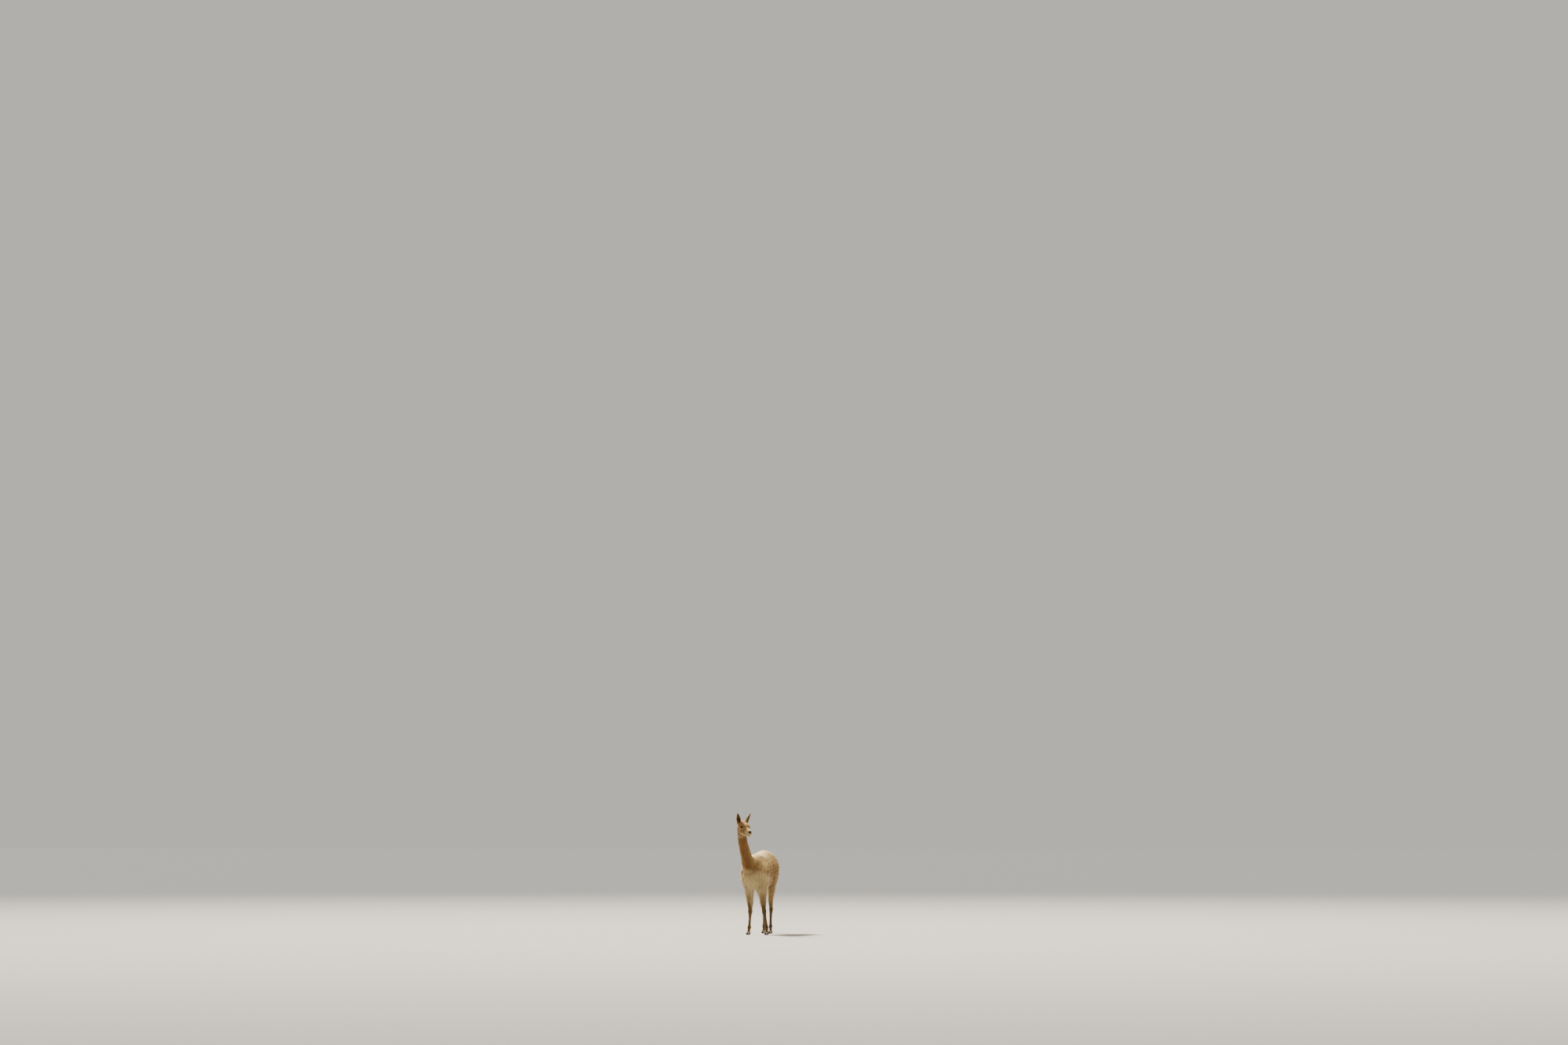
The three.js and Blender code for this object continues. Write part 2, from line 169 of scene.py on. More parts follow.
def tube(stations):
    """A smooth bar through its stations: a point, a radius and how narrow it is."""
    steps, pieces = 5, []
    points = [s[0] for s in stations]
    spans = len(stations) - 1
    for i in range(spans):
        (_, ra, wa), (_, rb, wb) = stations[i], stations[i + 1]
        ease = [3 * (j / steps) ** 2 - 2 * (j / steps) ** 3 for j in range(steps + 1)]
        for j in range(steps):
            half = (j + 0.5) / steps
            width = wa + (wb - wa) * (3 * half ** 2 - 2 * half ** 3)
            a, b = (curve_point(points, (i + k / steps) / spans) for k in (j, j + 1))
            pieces.append(limb(a, ra + (rb - ra) * ease[j], b, ra + (rb - ra) * ease[j + 1], width))

    def distance(p):
        d = pieces[0](p)
        for piece in pieces[1:]:
            np.minimum(d, piece(p), out=d)
        return d

    return Form(distance, *corners_of(pieces))


def corners_of(forms):
    return np.min([f.low for f in forms], 0), np.max([f.high for f in forms], 0)


def blend(k, *forms):
    """Forms that melt into each other over the distance k."""

    def distance(p):
        d = forms[0](p)
        for form in forms[1:]:
            d = smooth_min(d, form(p), k)
        return d

    return Form(distance, *corners_of(forms))


# The animal's own forms, at the outer surface of its coat

TORSO = blend(
    50,
    egg((0, -110, 700), (150, 250, 184)),
    *(egg((s * 76, -70, 625), (72, 200, 112)) for _, s in SIDES),
    egg((0, 115, 735), (152, 250, 172)),
    egg((0, 245, 765), (146, 190, 162), -0.2),
    *(egg((s * 80, 262, 700), (74, 126, 150), 0.25) for _, s in SIDES),
    egg((84, 218, 622), (58, 92, 106), 0.35),
    egg((-74, 262, 622), (58, 92, 106), 0.35),
    *(egg((s * 86, -240, 660), (68, 104, 146), -0.15) for _, s in SIDES),
    egg((0, -318, 650), (108, 84, 122)),
    egg((0, -195, 800), (72, 160, 86)),
    limb((-4, -262, 730), 100, (-40, -350, 785), 70, 0.8),
)

NECK_STATIONS = [
    ((-4, -252, 700), 114, 0.78),
    ((-44, -342, 775), 98, 0.68),
    ((-62, -436, 895), 71, 0.8),
    ((-73, -512, 1010), 59, 0.88),
    ((-80, -556, 1105), 52, 0.92),
    ((-86, -576, 1186), 42, 1),
]
NECK = tube(NECK_STATIONS)

TAIL_STATIONS = [
    ((0, 372, 822), 28, 1.05),
    ((0, 428, 798), 34, 1.05),
    ((0, 456, 735), 40, 1.05),
    ((0, 458, 668), 36, 1.05),
    ((0, 450, 587), 16, 1.05),
]
TAIL = tube(TAIL_STATIONS)

# The head in its own frame: the joint with the neck at its origin, nose towards -Y
SKULL = blend(
    20,
    egg((0, -40, 28), (52, 64, 50)),
    egg((0, -24, 54), (38, 40, 34)),
    egg((0, -80, 38), (46, 38, 29)),
    limb((0, -84, 10), 44, (0, -168, -12), 31, 0.88),
    egg((0, -186, -8), (23, 19, 19)),
    limb((0, -34, -24), 38, (0, -160, -44), 20, 0.88),
    egg((0, -172, -52), (18, 18, 13)),
    *(egg((s * 30, -60, -10), (24, 46, 38)) for _, s in SIDES),
    *(egg((s * 33, -84, 31), (20, 27, 22)) for _, s in SIDES),
    *(egg((s * 11, -182, -26), (15, 21, 15)) for _, s in SIDES),
    *(egg((s * 38, -10, 60), (19, 17, 24)) for _, s in SIDES),
)

# Leg joints from the top down, with the radii of the fore and hind legs
LEGS = {
    "foreleg_right": [(-66, -258, 600), (-60, -258, 510), (-50, -266, 385), (-45, -276, 265),
                      (-51, -270, 170), (-58, -266, 84), (-62, -285, 22)],
    "foreleg_left": [(80, -256, 600), (84, -256, 510), (94, -260, 385), (108, -264, 265),
                     (122, -258, 170), (134, -252, 84), (142, -270, 22)],
    "hindleg_left": [(84, 214, 630), (87, 208, 535), (73, 238, 390), (69, 272, 272),
                     (69, 258, 170), (70, 246, 84), (76, 225, 22)],
    "hindleg_right": [(-72, 262, 630), (-60, 280, 535), (-44, 345, 390), (-40, 405, 272),
                      (-37, 402, 170), (-34, 396, 84), (-34, 376, 22)],
}
LEG_SIDES = {name: 1 if joints[0][0] > 0 else -1 for name, joints in LEGS.items()}
FORE_RADII = (66, 64, 45, 25, 16, 18, 19)
HIND_RADII = (84, 61, 35, 22, 16.5, 18, 19)


def leg_form(name):
    hind = name.startswith("hind")
    joints = LEGS[name]
    stations = [(p, r, 0.8) for p, r in zip(joints, HIND_RADII if hind else FORE_RADII)]
    knee, foot = joints[3], joints[6]
    bend = (knee[0], knee[1] + (9 if hind else -3), knee[2] + (4 if hind else -2))
    shank = blend(
        14,
        tube(stations),
        egg(bend, (20, 23, 32) if hind else (22, 22, 34)),
        egg(joints[5], (18, 20, 21)),
    )
    toes = [egg((foot[0] + s * (FOOT_WIDTH / 4 - 0.5), foot[1] - 16, 15),
                (FOOT_WIDTH / 4 + 1, 38, 20), 0.18) for _, s in SIDES]
    paired = Form(lambda p: np.minimum(toes[0](p), toes[1](p)), *corners_of(toes))
    return blend(6, shank, paired)


# Turns the head's own frame to the body's
HEAD_BASIS = np.array(Matrix.Rotation(HEAD_TURN, 3, "Z") @ Matrix.Rotation(HEAD_NOD, 3, "X"))


def to_head(p):
    return (p - np.array(HEAD_PLACE)) @ HEAD_BASIS


def from_head(q):
    return q @ HEAD_BASIS.T + np.array(HEAD_PLACE)


def eye_place(s):
    return np.array((s * 37.5, -86.0, 31.0))


def eye_axes(s):
    """Forward, up and outward at an eye, in the head's frame."""
    outward = unit(np.array((s * 0.9, -0.42, 0.08)))
    forward = np.array((0, -1, -0.1))
    forward = unit(forward - outward * (forward @ outward))
    up = np.cross(outward, forward) * s
    return forward, up, outward


def opening(s, q):
    """How far a point is outside the almond between the lids, and how far out of the eye."""
    forward, up, outward = eye_axes(s)
    d = q - eye_place(s)
    u, w = turned(d @ forward, d @ up, -LID_LEAN)
    radius = (LID_HALF_WIDTH ** 2 + LID_HALF_HEIGHT ** 2) / (2 * LID_HALF_HEIGHT)
    lids = [np.hypot(u - 1, w - side * (radius - LID_HALF_HEIGHT)) - radius for side in (1, -1)]
    return np.maximum(*lids), d @ outward


def mouth_height(q):
    """Height of a point over the line of the mouth, and how far it is behind the corner."""
    line = -35 + (q[:, 1] + 184) * 0.1 + 3.5 * smoothstep(q[:, 1], -176, -150)
    return q[:, 2] - line, np.maximum(q[:, 1] + 151, 0)


def face(q):
    """The head's skin, in its own frame: lids, nostrils, lips, cleft and cheek hollows."""
    d = SKULL(q) + HEAD_HAIR_DEPTH
    behind = smoothstep(q[:, 1], -150, -120)
    d += 1.6 * np.exp(-((np.abs(q[:, 0]) - 24) / 9) ** 2 - ((q[:, 1] + 128) / 22) ** 2
                      - ((q[:, 2] + 2) / 12) ** 2)
    for _, s in SIDES:
        ball = length(q - eye_place(s))
        almond, out = opening(s, q)
        d = smooth_min(d, ball - EYE_RADIUS - 1.9, 6)
        rim = np.exp(-((almond - 1.6) / 1.5) ** 2) * smoothstep(out, 2, 8) * (ball < 26)
        fold = np.exp(-((almond - 6.5) / 1.4) ** 2) * smoothstep(out, 4, 10) * (ball < 28)
        d += fold * 0.9 - rim * 0.7
        d = smooth_max(d, -np.maximum(almond, 4 - out), 1.0)
        d = np.maximum(d, EYE_RADIUS + 0.3 - ball)
        hole = q - np.array((s * 10.5, -199, -7))
        across, rise = turned(hole[:, 0], hole[:, 2], -s * 0.55)
        hole = np.stack((across, hole[:, 1], rise), 1)
        wing = length(hole / np.array((5.2, 6.5, 8.4))) - 1
        slit = length((hole + np.array((0, 5, 0))) / np.array((2.2, 11, 6.2))) - 1
        d = smooth_min(d, wing * 5, 6)
        d = smooth_max(d, -slit * 2.4, 1.4)
    over, past = mouth_height(q)
    mouth = np.exp(-(over / 1.3) ** 2 - (past / 5) ** 2) * (1 - behind)
    lips = np.exp(-((np.abs(over) - 4) / 2.6) ** 2 - (past / 8) ** 2) * (1 - behind)
    cleft = np.exp(-(q[:, 0] / 1.2) ** 2) * smoothstep(-q[:, 1], 188, 196)
    cleft *= smoothstep(q[:, 2], -36, -31) * (1 - smoothstep(q[:, 2], -15, -11))
    return d + 2.8 * mouth + 2.2 * cleft - 0.9 * lips


def head_form():
    sides = (-80, 80), (-230, 40), (-80, 110)
    box = [from_head(np.array(corner, float)) for corner in itertools.product(*sides)]
    return Form(lambda p: face(to_head(p)), np.min(box, 0), np.max(box, 0))


class Part:
    """A part of the flesh: its form, the coat's depth over it, and how softly it joins the rest."""

    def __init__(self, form, depth, join):
        self.form = form
        self.depth = depth
        self.join = join

    def surface(self, p):
        depth = self.depth(p) if callable(self.depth) else self.depth
        return self.form(p) + depth

    def near(self, p, reach):
        return np.all((p > self.form.low - reach) & (p < self.form.high + reach), 1)


def leg_depth(p):
    return 2.0 + 9 * smoothstep(p[:, 2], 380, 560)


def neck_depth(p):
    return 7 + 8 * (1 - smoothstep(p[:, 2], 780, 1050))


PARTS = {
    "torso": Part(TORSO, 20, 30),
    "neck": Part(NECK, neck_depth, 34),
    "tail": Part(TAIL, 15, 16),
    **{name: Part(leg_form(name), leg_depth, 26) for name in LEGS},
    "head": Part(head_form(), 0, 14),
}
PART_NAMES = [*PARTS, "ear_left", "ear_right"]


def flesh(p):
    """Distance to the skin of the whole animal, in millimetres, flat where it stands."""
    d = np.full(len(p), 1000.0)
    for part in PARTS.values():
        near = part.near(p, FLESH_REACH)
        if near.any():
            d[near] = smooth_min(d[near], part.surface(p[near]), part.join)
    return smooth_max(d, -p[:, 2], 1.5)


def slope(field, p, step=0.6):
    """Unit direction in which a field grows."""
    rise = np.empty_like(p)
    for axis in range(3):
        move = np.zeros(3)
        move[axis] = step
        rise[:, axis] = field(p + move) - field(p - move)
    return unit(rise)


def shares(p):
    """How much of each part a point belongs to, from 0 to 1."""
    distances = np.full((len(PARTS), len(p)), 400.0)
    for row, part in zip(distances, PARTS.values()):
        near = part.near(p, 90)
        if near.any():
            row[near] = part.surface(p[near])
    weights = np.exp(-(distances - distances.min(0)) / 9)
    weights /= weights.sum(0)
    return dict(zip(PARTS, weights))


def strongest(p):
    """The number of the part, in PART_NAMES, that each point belongs to most."""
    number = np.argmax(list(shares(p).values()), 0)
    for side, (on, _) in ear_places(p).items():
        number[on] = PART_NAMES.index(f"ear_{side}")
    return number


def frame_offset():
    """From the design's own origin to the frame's, in millimetres, found at the two eyes."""
    middle = sum((sum(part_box(f"eye_{side}"), Vector()) for side, _ in SIDES), Vector()) / 4
    eyes = from_head(np.array([eye_place(s) for _, s in SIDES])).mean(0)
    return np.array(middle) / MM - eyes


OFFSET = frame_offset()


# Ears: an open, spear-shaped cup that is rolled in at its base

EAR_HEIGHTS, EAR_RADII = np.array(
    [(-20, 8), (-13, 14), (8, 19), (34, 23), (62, 21), (96, 12.5), (112, 7), (124, 0.6)]).T


def ear_axes(s):
    """Across, open side and aim of an ear, in the head's frame."""
    aim = unit(np.array((s * 0.3, -0.2, 0.93)))
    opened = np.array((s * 0.5, -0.86, -0.25))
    opened = unit(opened - aim * (opened @ aim))
    return np.cross(opened, aim), opened, aim


def ear_root(s):
    return np.array((s * 42.0, -8.0, 66.0))


def to_ear(s, p):
    """A point in an ear's frame: across, towards its open side, and along it."""
    return (to_head(p) - ear_root(s)) @ np.array(ear_axes(s)).T


def ear_shell(s, thick):
    """Vertices and faces of one closed ear, in the body's frame, from crescents that go up it."""
    around, rows = 22, 34
    rings = []
    for i in range(rows + 1):
        z = EAR_FOOT + (EAR_LENGTH - 0.5 - EAR_FOOT) * i / rows
        r = np.interp(z, EAR_HEIGHTS, EAR_RADII)
        wrap = math.radians(62 * (1 - smoothstep(z, 6, 52)) + 8)
        turn = np.linspace(-wrap, math.pi + wrap, around)
        wall = min(thick, r * 0.4)
        bow = 2.5 * math.sin(math.pi * min(max(z, 0) / EAR_LENGTH, 1))
        arc = np.stack((np.cos(turn), -np.sin(turn)), 1)
        outer = arc * (r * 1.08, r * 0.72)
        inner = arc * (max(r * 1.08 - wall, 0.2), max(r * 0.72 - wall, 0.15))
        ring = np.vstack((outer, inner[::-1]))
        lean = s * 5 * (max(z, 0) / EAR_LENGTH) ** 2
        height = np.full(len(ring), z)
        rings.append(np.column_stack((ring[:, 0] - lean, ring[:, 1] + bow - 1, height)))
    count = around * 2
    points = np.vstack(rings)
    faces = []
    for i in range(rows):
        for j in range(count):
            k = (j + 1) % count
            faces.append((i * count + j, i * count + k, (i + 1) * count + k, (i + 1) * count + j))
    faces += [tuple(range(count))[::-1], tuple(range(rows * count, (rows + 1) * count))]
    return from_head(points @ np.array(ear_axes(s)) + ear_root(s)), faces


def ear_edge(q, least, low, high):
    """How near a point in an ear's frame is to the ear's edge, from 0 to 1."""
    radius = np.interp(q[:, 2], EAR_HEIGHTS, EAR_RADII)
    return smoothstep(np.abs(q[:, 0]) / np.maximum(radius, least), low, high)


# Meshes

def mesh_from(name, points, faces=()):
    """A mesh from design millimetres, placed in the frame."""
    mesh = bpy.data.meshes.new(name)
    mesh.from_pydata(((points + OFFSET) * MM).tolist(), [], [tuple(f) for f in faces])
    return mesh


def turn_outwards(mesh):
    shape = bmesh.new()
    shape.from_mesh(mesh)
    bmesh.ops.recalc_face_normals(shape, faces=shape.faces)
    shape.to_mesh(mesh)
    shape.free()
    return mesh


def add_piece(name, mesh):
    piece = bpy.data.objects.new(name, mesh)
    bpy.context.scene.collection.objects.link(piece)
    return piece


def numbers_of(items, field, width=3, sort=np.float32):
    """One property of each item, such as of each vertex, as rows of numbers."""
    values = np.empty(len(items) * width, sort)
    items.foreach_get(field, values)
    return values.reshape(-1, width) if width > 1 else values


def design_points(mesh):
    """A mesh's vertices in design millimetres."""
    return numbers_of(mesh.vertices, "co").astype(float) / MM - OFFSET


def set_points(mesh, points):
    mesh.vertices.foreach_set("co", ((points + OFFSET) * MM).astype(np.float32).ravel())
    mesh.update()


def vertex_normals(mesh):
    return numbers_of(mesh.vertex_normals, "vector").astype(float)


def store(mesh, name, values, kind, domain="POINT"):
    """Keeps one value a point as a named attribute: FLOAT, INT, FLOAT_VECTOR or FLOAT_COLOR."""
    attribute = mesh.attributes.get(name) or mesh.attributes.new(name, kind, domain)
    field = {"FLOAT_VECTOR": "vector", "FLOAT_COLOR": "color"}.get(kind, "value")
    sort = np.int32 if kind == "INT" else np.float32
    attribute.data.foreach_set(field, np.ascontiguousarray(values, sort).ravel())


def store_markings_and_painted_light(mesh, p, n):
    """Keeps the coat's colour at each point, with its painted light and shade."""
    colour = coat_colour(p, n)
    store(mesh, "coat", np.column_stack((colour, np.ones(len(colour)))), "FLOAT_COLOR")


def grid_mesh(voxel):
    """The skin of the whole animal, but for its ears, as a closed mesh of even squares."""
    low = np.array((-220.0, -765.0, -2 * voxel))
    high = np.array((220.0, 520.0, 1370.0))
    count = ((high - low) / voxel).astype(int) + 1
    axes = [low[i] + voxel * np.arange(count[i]) for i in range(3)]
    points = np.stack(np.meshgrid(*axes, indexing="ij"), -1).reshape(-1, 3)
    grid = openvdb.FloatGrid()
    grid.copyFromArray(flesh(points).reshape(count).astype(np.float32))
    corners, faces = grid.convertToQuads(isovalue=0.0)
    return low + corners * voxel, faces.tolist()


def refine(mesh, wanted):
    """Splits every face whose middle is wanted into four."""
    shape = bmesh.new()
    shape.from_mesh(mesh)
    middles = np.array([f.calc_center_median() for f in shape.faces]) / MM - OFFSET
    chosen = wanted(middles)
    edges = {e for f, keep in zip(shape.faces, chosen) if keep for e in f.edges}
    bmesh.ops.subdivide_edges(shape, edges=list(edges), cuts=1, use_grid_fill=True)
    shape.to_mesh(mesh)
    shape.free()


def settle(mesh, rounds):
    """Moves every vertex onto the skin's surface."""
    p = design_points(mesh)
    for _ in range(rounds):
        d = flesh(p)
        p -= slope(flesh, p) * np.clip(d, -4, 4)[:, None]
    p[:, 2] = np.maximum(p[:, 2], 0)
    set_points(mesh, p)


def in_head(p, front=42):
    x, y, z = to_head(p).T
    return (y < front) & (y > -240) & (np.abs(x) < 90) & (z > -95) & (z < 110)


def in_head_and_legs(p, legs_top=480):
    return in_head(p) | (p[:, 2] < legs_top)


def in_face(p):
    return in_head(p, front=-52)


def in_features(p):
    """Round the eyes, the nose and the mouth."""
    q = to_head(p)
    eyes = np.minimum(*(length(q - eye_place(s)) for _, s in SIDES))
    over, past = mouth_height(q)
    muzzle = in_head(p) & (q[:, 1] < -140) & ((q[:, 1] < -188) | (np.abs(over) < 9)) & (past < 9)
    return (eyes < 30) | (muzzle & (np.abs(q[:, 0]) < 60))


def build_skin(voxel, ear_wall):
    """One closed skin from nose to tail, finer on the legs, the head and round the features."""
    mesh = mesh_from("skin", *grid_mesh(voxel))
    mesh.validate()
    turn_outwards(mesh)
    for wanted in (in_head_and_legs, in_face, in_features):
        refine(mesh, wanted)
        settle(mesh, 1)
    settle(mesh, 2)
    skin = add_piece("skin", mesh)
    for side, s in SIDES:
        shell = mesh_from(f"ear_shell_{side}", *ear_shell(s, ear_wall))
        shell.validate()
        ear = add_piece(shell.name, turn_outwards(shell))
        union = skin.modifiers.new("Ear", "BOOLEAN")
        union.object = ear
        union.operation = "UNION"
        union.solver = "MANIFOLD"
        flatten(skin)
        bpy.data.objects.remove(ear)
    skin.data.shade_smooth()
    return skin


def flatten(piece):
    """Turns the evaluated piece into its own plain mesh, and drops its modifiers."""
    graph = bpy.context.evaluated_depsgraph_get()
    graph.update()
    mesh = bpy.data.meshes.new_from_object(piece.evaluated_get(graph))
    piece.modifiers.clear()
    piece.data = mesh
    mesh.name = piece.name


# Colours of the coat, by place on the animal

def linear(code):
    """A colour as light from its six-digit code."""
    channels = [int(code[i:i + 2], 16) / 255 for i in (0, 2, 4)]
    return tuple(c / 12.92 if c < 0.04045 else ((c + 0.055) / 1.055) ** 2.4 for c in channels)


def coat_tones():
    """The colours that the coat, eyes and nails are set to."""
    return bpy.context.scene.vicuna_colours


def drifting(p, scale, seed):
    """A smooth, slow wander between -1 and 1 over the body, the same at every run."""
    draw = np.random.default_rng(seed)
    total = np.zeros(len(p))
    for _ in range(4):
        way = unit(draw.normal(size=3)) * (2 * math.pi / scale) * draw.uniform(0.6, 1.5)
        total += np.sin(p @ way + draw.uniform(0, 7))
    return total / 4


def ear_places(p):
    """For each side, whether a point is on that ear, and its place in the ear's frame."""
    places = {}
    for side, s in SIDES:
        q = to_ear(s, p)
        on = (q[:, 2] > 6) & (q[:, 2] < 130) & (np.abs(q[:, 0]) < 32) & (np.abs(q[:, 1]) < 26)
        places[side] = on & (in_head(p) | (q[:, 2] > 20)), q
    return places


def painted(colour, *layers):
    """Lays tones over colours in turn, each as much as its cover says."""
    colour = np.array(colour)
    for tone, cover in layers:
        cover = np.clip(cover, 0, 1)[:, None]
        colour = colour * (1 - cover) + np.array(tone[:3]) * cover
    return colour


def coat_colour(p, n):
    """The colour of skin and hair at points with outward directions n."""
    tone = coat_tones()
    part = shares(p)
    wander, soft = drifting(p, 170, 5), drifting(p, 60, 6)
    x, y, z = p.T
    torso, neck, head, tail = (part[k] for k in ("torso", "neck", "head", "tail"))
    low = 1 - smoothstep(z + 30 * wander, 590, 690)
    thigh = smoothstep(y, 90, 220) * (1 - smoothstep(z + 25 * wander, 640, 760))
    rear = smoothstep(y, 300, 390) * smoothstep(-n[:, 2] + 0.4, -0.1, 0.5)
    point = z + 25 * wander + 0.3 * np.abs(x + 20) - 5
    chest = smoothstep(-y - 0.35 * np.abs(x), 130, 225) * (1 - smoothstep(point, 680, 765))
    throat = smoothstep(z, 1070, 1110) * smoothstep(-n[:, 1] - 0.4 * n[:, 2], 0.2, 0.8)
    colour = painted(
        tone.flank,
        # Partly the coat's paler back, partly painted sunlight: the back tone is laid where the body
        # faces up.
        (tone.back, smoothstep(n[:, 2] + 0.25 * wander + 0.15 * soft, 0.12, 0.8)),
        (tone.leg, torso * np.maximum(low * 0.8, thigh * 0.85)),
        (tone.cream, torso * smoothstep(-n[:, 2], 0.3 + 0.1 * wander, 0.75)),
        (tone.cream, torso * rear * 0.8),
        (tone.neck, smoothstep(neck, 0.35, 0.95) * (0.92 + 0.08 * wander)),
        (tone.cream, np.maximum(neck, torso) * chest * 0.92),
        (tone.cream, neck * throat * 0.5),
    )
    legs = sum(part[name] for name in LEGS)[:, None]
    knee = 318 - 52 * n[:, 1] + 22 * soft
    shin = 1 - smoothstep(z, knee - 80, knee + 40)
    inner = sum(part[name] * smoothstep(-s * n[:, 0], 0.2, 0.8) for name, s in LEG_SIDES.items())
    front = smoothstep(-n[:, 1], 0.2, 0.8) * smoothstep(z, 400, 520) * (y < 0)
    fawn = painted(
        tone.leg,
        (tone.shin, shin * (0.88 + 0.12 * soft)),
        (tone.cream, inner * (0.2 + 0.7 * smoothstep(z, 260, 480))),
        (tone.cream, front * 0.6),
    )
    colour = painted(
        colour * (1 - legs) + fawn * legs,
        (tone.cream, tail * smoothstep(-n[:, 1], -0.1, 0.7) * 0.9),
        (tone.head, tail * smoothstep(n[:, 1], -0.1, 0.5) * smoothstep(z, 600, 780) * 0.6),
    )
    return colour * (1 - head[:, None]) + head_colour(p, n) * head[:, None]


def head_colour(p, n):
    """Tan crown, deeper cheeks, cream jaw and muzzle, dark nose, lips and lids, with painted
    sunlight on the nose bridge and painted shade round the eyes, along the lips and in the ear
    hollows.
    """
    tone = coat_tones()
    q, m = to_head(p), n @ HEAD_BASIS
    x, y, z = q.T
    under = smoothstep(-m[:, 2], 0.0, 0.8)
    cheek = smoothstep(y, -150, -95) * smoothstep(-z, -40, -5)
    # Painted sunlight along the top of the nose, in the back tone.
    bridge_sunlight = smoothstep(-y, 96, 140) * (1 - smoothstep(np.abs(x), 8, 26)) * smoothstep(z, -20, 4)
    colour = painted(
        tone.head,
        (tone.cream, under * 0.75),
        (tone.neck, cheek * (1 - under) * 0.8),
        (tone.cream, smoothstep(-y - 0.6 * np.maximum(z, 0), 138, 172) * 0.9),
        (tone.back, bridge_sunlight * 0.7),
    )
    for side, s in SIDES:
        forward, up, _ = eye_axes(s)
        d = q - eye_place(s)
        far, along, above = length(d), np.abs(d @ forward), d @ up
        # A dark line out from the eye's corners: partly the face's own dark eye line, partly painted
        # shade of the lids and lashes.
        eye_line_shade = np.exp(-((above + 0.28 * along) / 6) ** 2) * (1 - smoothstep(along, 22, 40))
        almond, _ = opening(s, q)
        colour = painted(
            colour,
            (tone.cream, np.exp(-((far - 28) / 5) ** 2) * 0.15),
            (tone.shin, eye_line_shade * (x * s > 0) * smoothstep(along, 8, 16) * 0.85),
            (tone.bare, np.exp(-(np.maximum(almond, 0) / 2.6) ** 2) * (far < 28)),
        )
        on, ear = ear_places(p)[side]
        inside = smoothstep(m @ ear_axes(s)[1], 0.0, 0.5)
        ear_tones_and_shade = painted(
            tone.head,
            (tone.shin, smoothstep(ear[:, 2], 80, 120) * 0.6),
            # Painted shade darkens the hollow of the ear, whose own lining is pale.
            (tone.ear_hollow_shade, inside),
            (tone.cream, ear_edge(ear, 4, 0.72, 1.0) * inside * 0.6),
        )
        colour = np.where(on[:, None], ear_tones_and_shade, colour)
    pad = smoothstep(-nose_place(q), -1.16, -0.96) * in_head(p)
    lift, past = mouth_height(q)
    # The dark lips are drawn wider than the bare lips: the extra width is painted shade on the front
    # of the muzzle.
    line = np.exp(-(lift / 3.4) ** 2 - (past / 5) ** 2) * smoothstep(-y, 148, 160)
    return painted(colour, (tone.bare, pad * 0.92), (tone.bare, line * 0.85))


def nose_place(q):
    """How far a point is from the dark pad round the nostrils and over the cleft, below 1 on it."""
    wings = [length((q - (s * 9.5, -202, -8)) / (8.5, 13, 11)) for _, s in SIDES]
    strip = length((q - (0, -204, -14)) / (5, 9, 14))
    return np.minimum(np.minimum(*wings), strip)


def bareness(p):
    """Where the skin shows: round the nostrils, the lip line, the lid rims and the soles."""
    q = to_head(p)
    lift, past = mouth_height(q)
    lips = np.exp(-(lift / 2.5) ** 2 - (past / 5) ** 2) * smoothstep(-q[:, 1], 150, 165)
    bare = np.maximum(smoothstep(-nose_place(q), -1.3, -0.9), lips)
    for _, s in SIDES:
        almond, _ = opening(s, q)
        bare = np.maximum(bare, np.exp(-(almond / 2.4) ** 2) * (length(q - eye_place(s)) < 27))
    return np.maximum(bare * in_head(p), 1 - smoothstep(p[:, 2], 1, 5))


# Lie of the coat

def lie_of(p, n):
    """The direction in which the hair lies at points with outward directions n."""
    part = shares(p)
    backward = np.column_stack((n[:, 0] * 0.15, np.ones(len(p)), -0.25 - 0.45 * np.abs(n[:, 0])))
    fall = np.abs(n[:, 1])[:, None] ** 2
    down = np.array((0.0, 0.12, -1.0))
    body = unit(backward * (1 - fall) + down * fall * 1.3)
    front = smoothstep(-p[:, 1], 150, 330)[:, None]
    lie = part["torso"][:, None] * (body * (1 - front) + np.array((0.0, 0.45, -0.9)) * front)
    hanging = {"neck": (0.1, 0.45, -0.9), "tail": (0.0, 0.05, -1.0)}
    for name, way in {**hanging, **dict.fromkeys(LEGS, (0.0, 0.1, -1.0))}.items():
        lie += part[name][:, None] * np.array(way)
    q = to_head(p)
    side = np.sign(q[:, 0]) * smoothstep(np.abs(q[:, 0]), 0, 25)
    rise = 0.25 * smoothstep(q[:, 2], 10, 50) - 0.2
    along = np.column_stack((side * 0.25, np.ones(len(p)), rise))
    lie += part["head"][:, None] * (along @ HEAD_BASIS.T)
    for side, s in SIDES:
        on, _ = ear_places(p)[side]
        lie[on] = np.array(ear_axes(s)[2]) @ HEAD_BASIS.T
    lie = unit(level(lie, n))
    swirl = (0.32 * drifting(p, 75, 8) + 0.22 * drifting(p, 28, 9))[:, None]
    return unit(lie + np.cross(n, lie) * swirl)


def strayed(lie, n, draw, stray):
    """The lie of single tufts, each a little off, level with the skin."""
    return unit(level(unit(lie + draw.normal(0, stray, n.shape)), n))


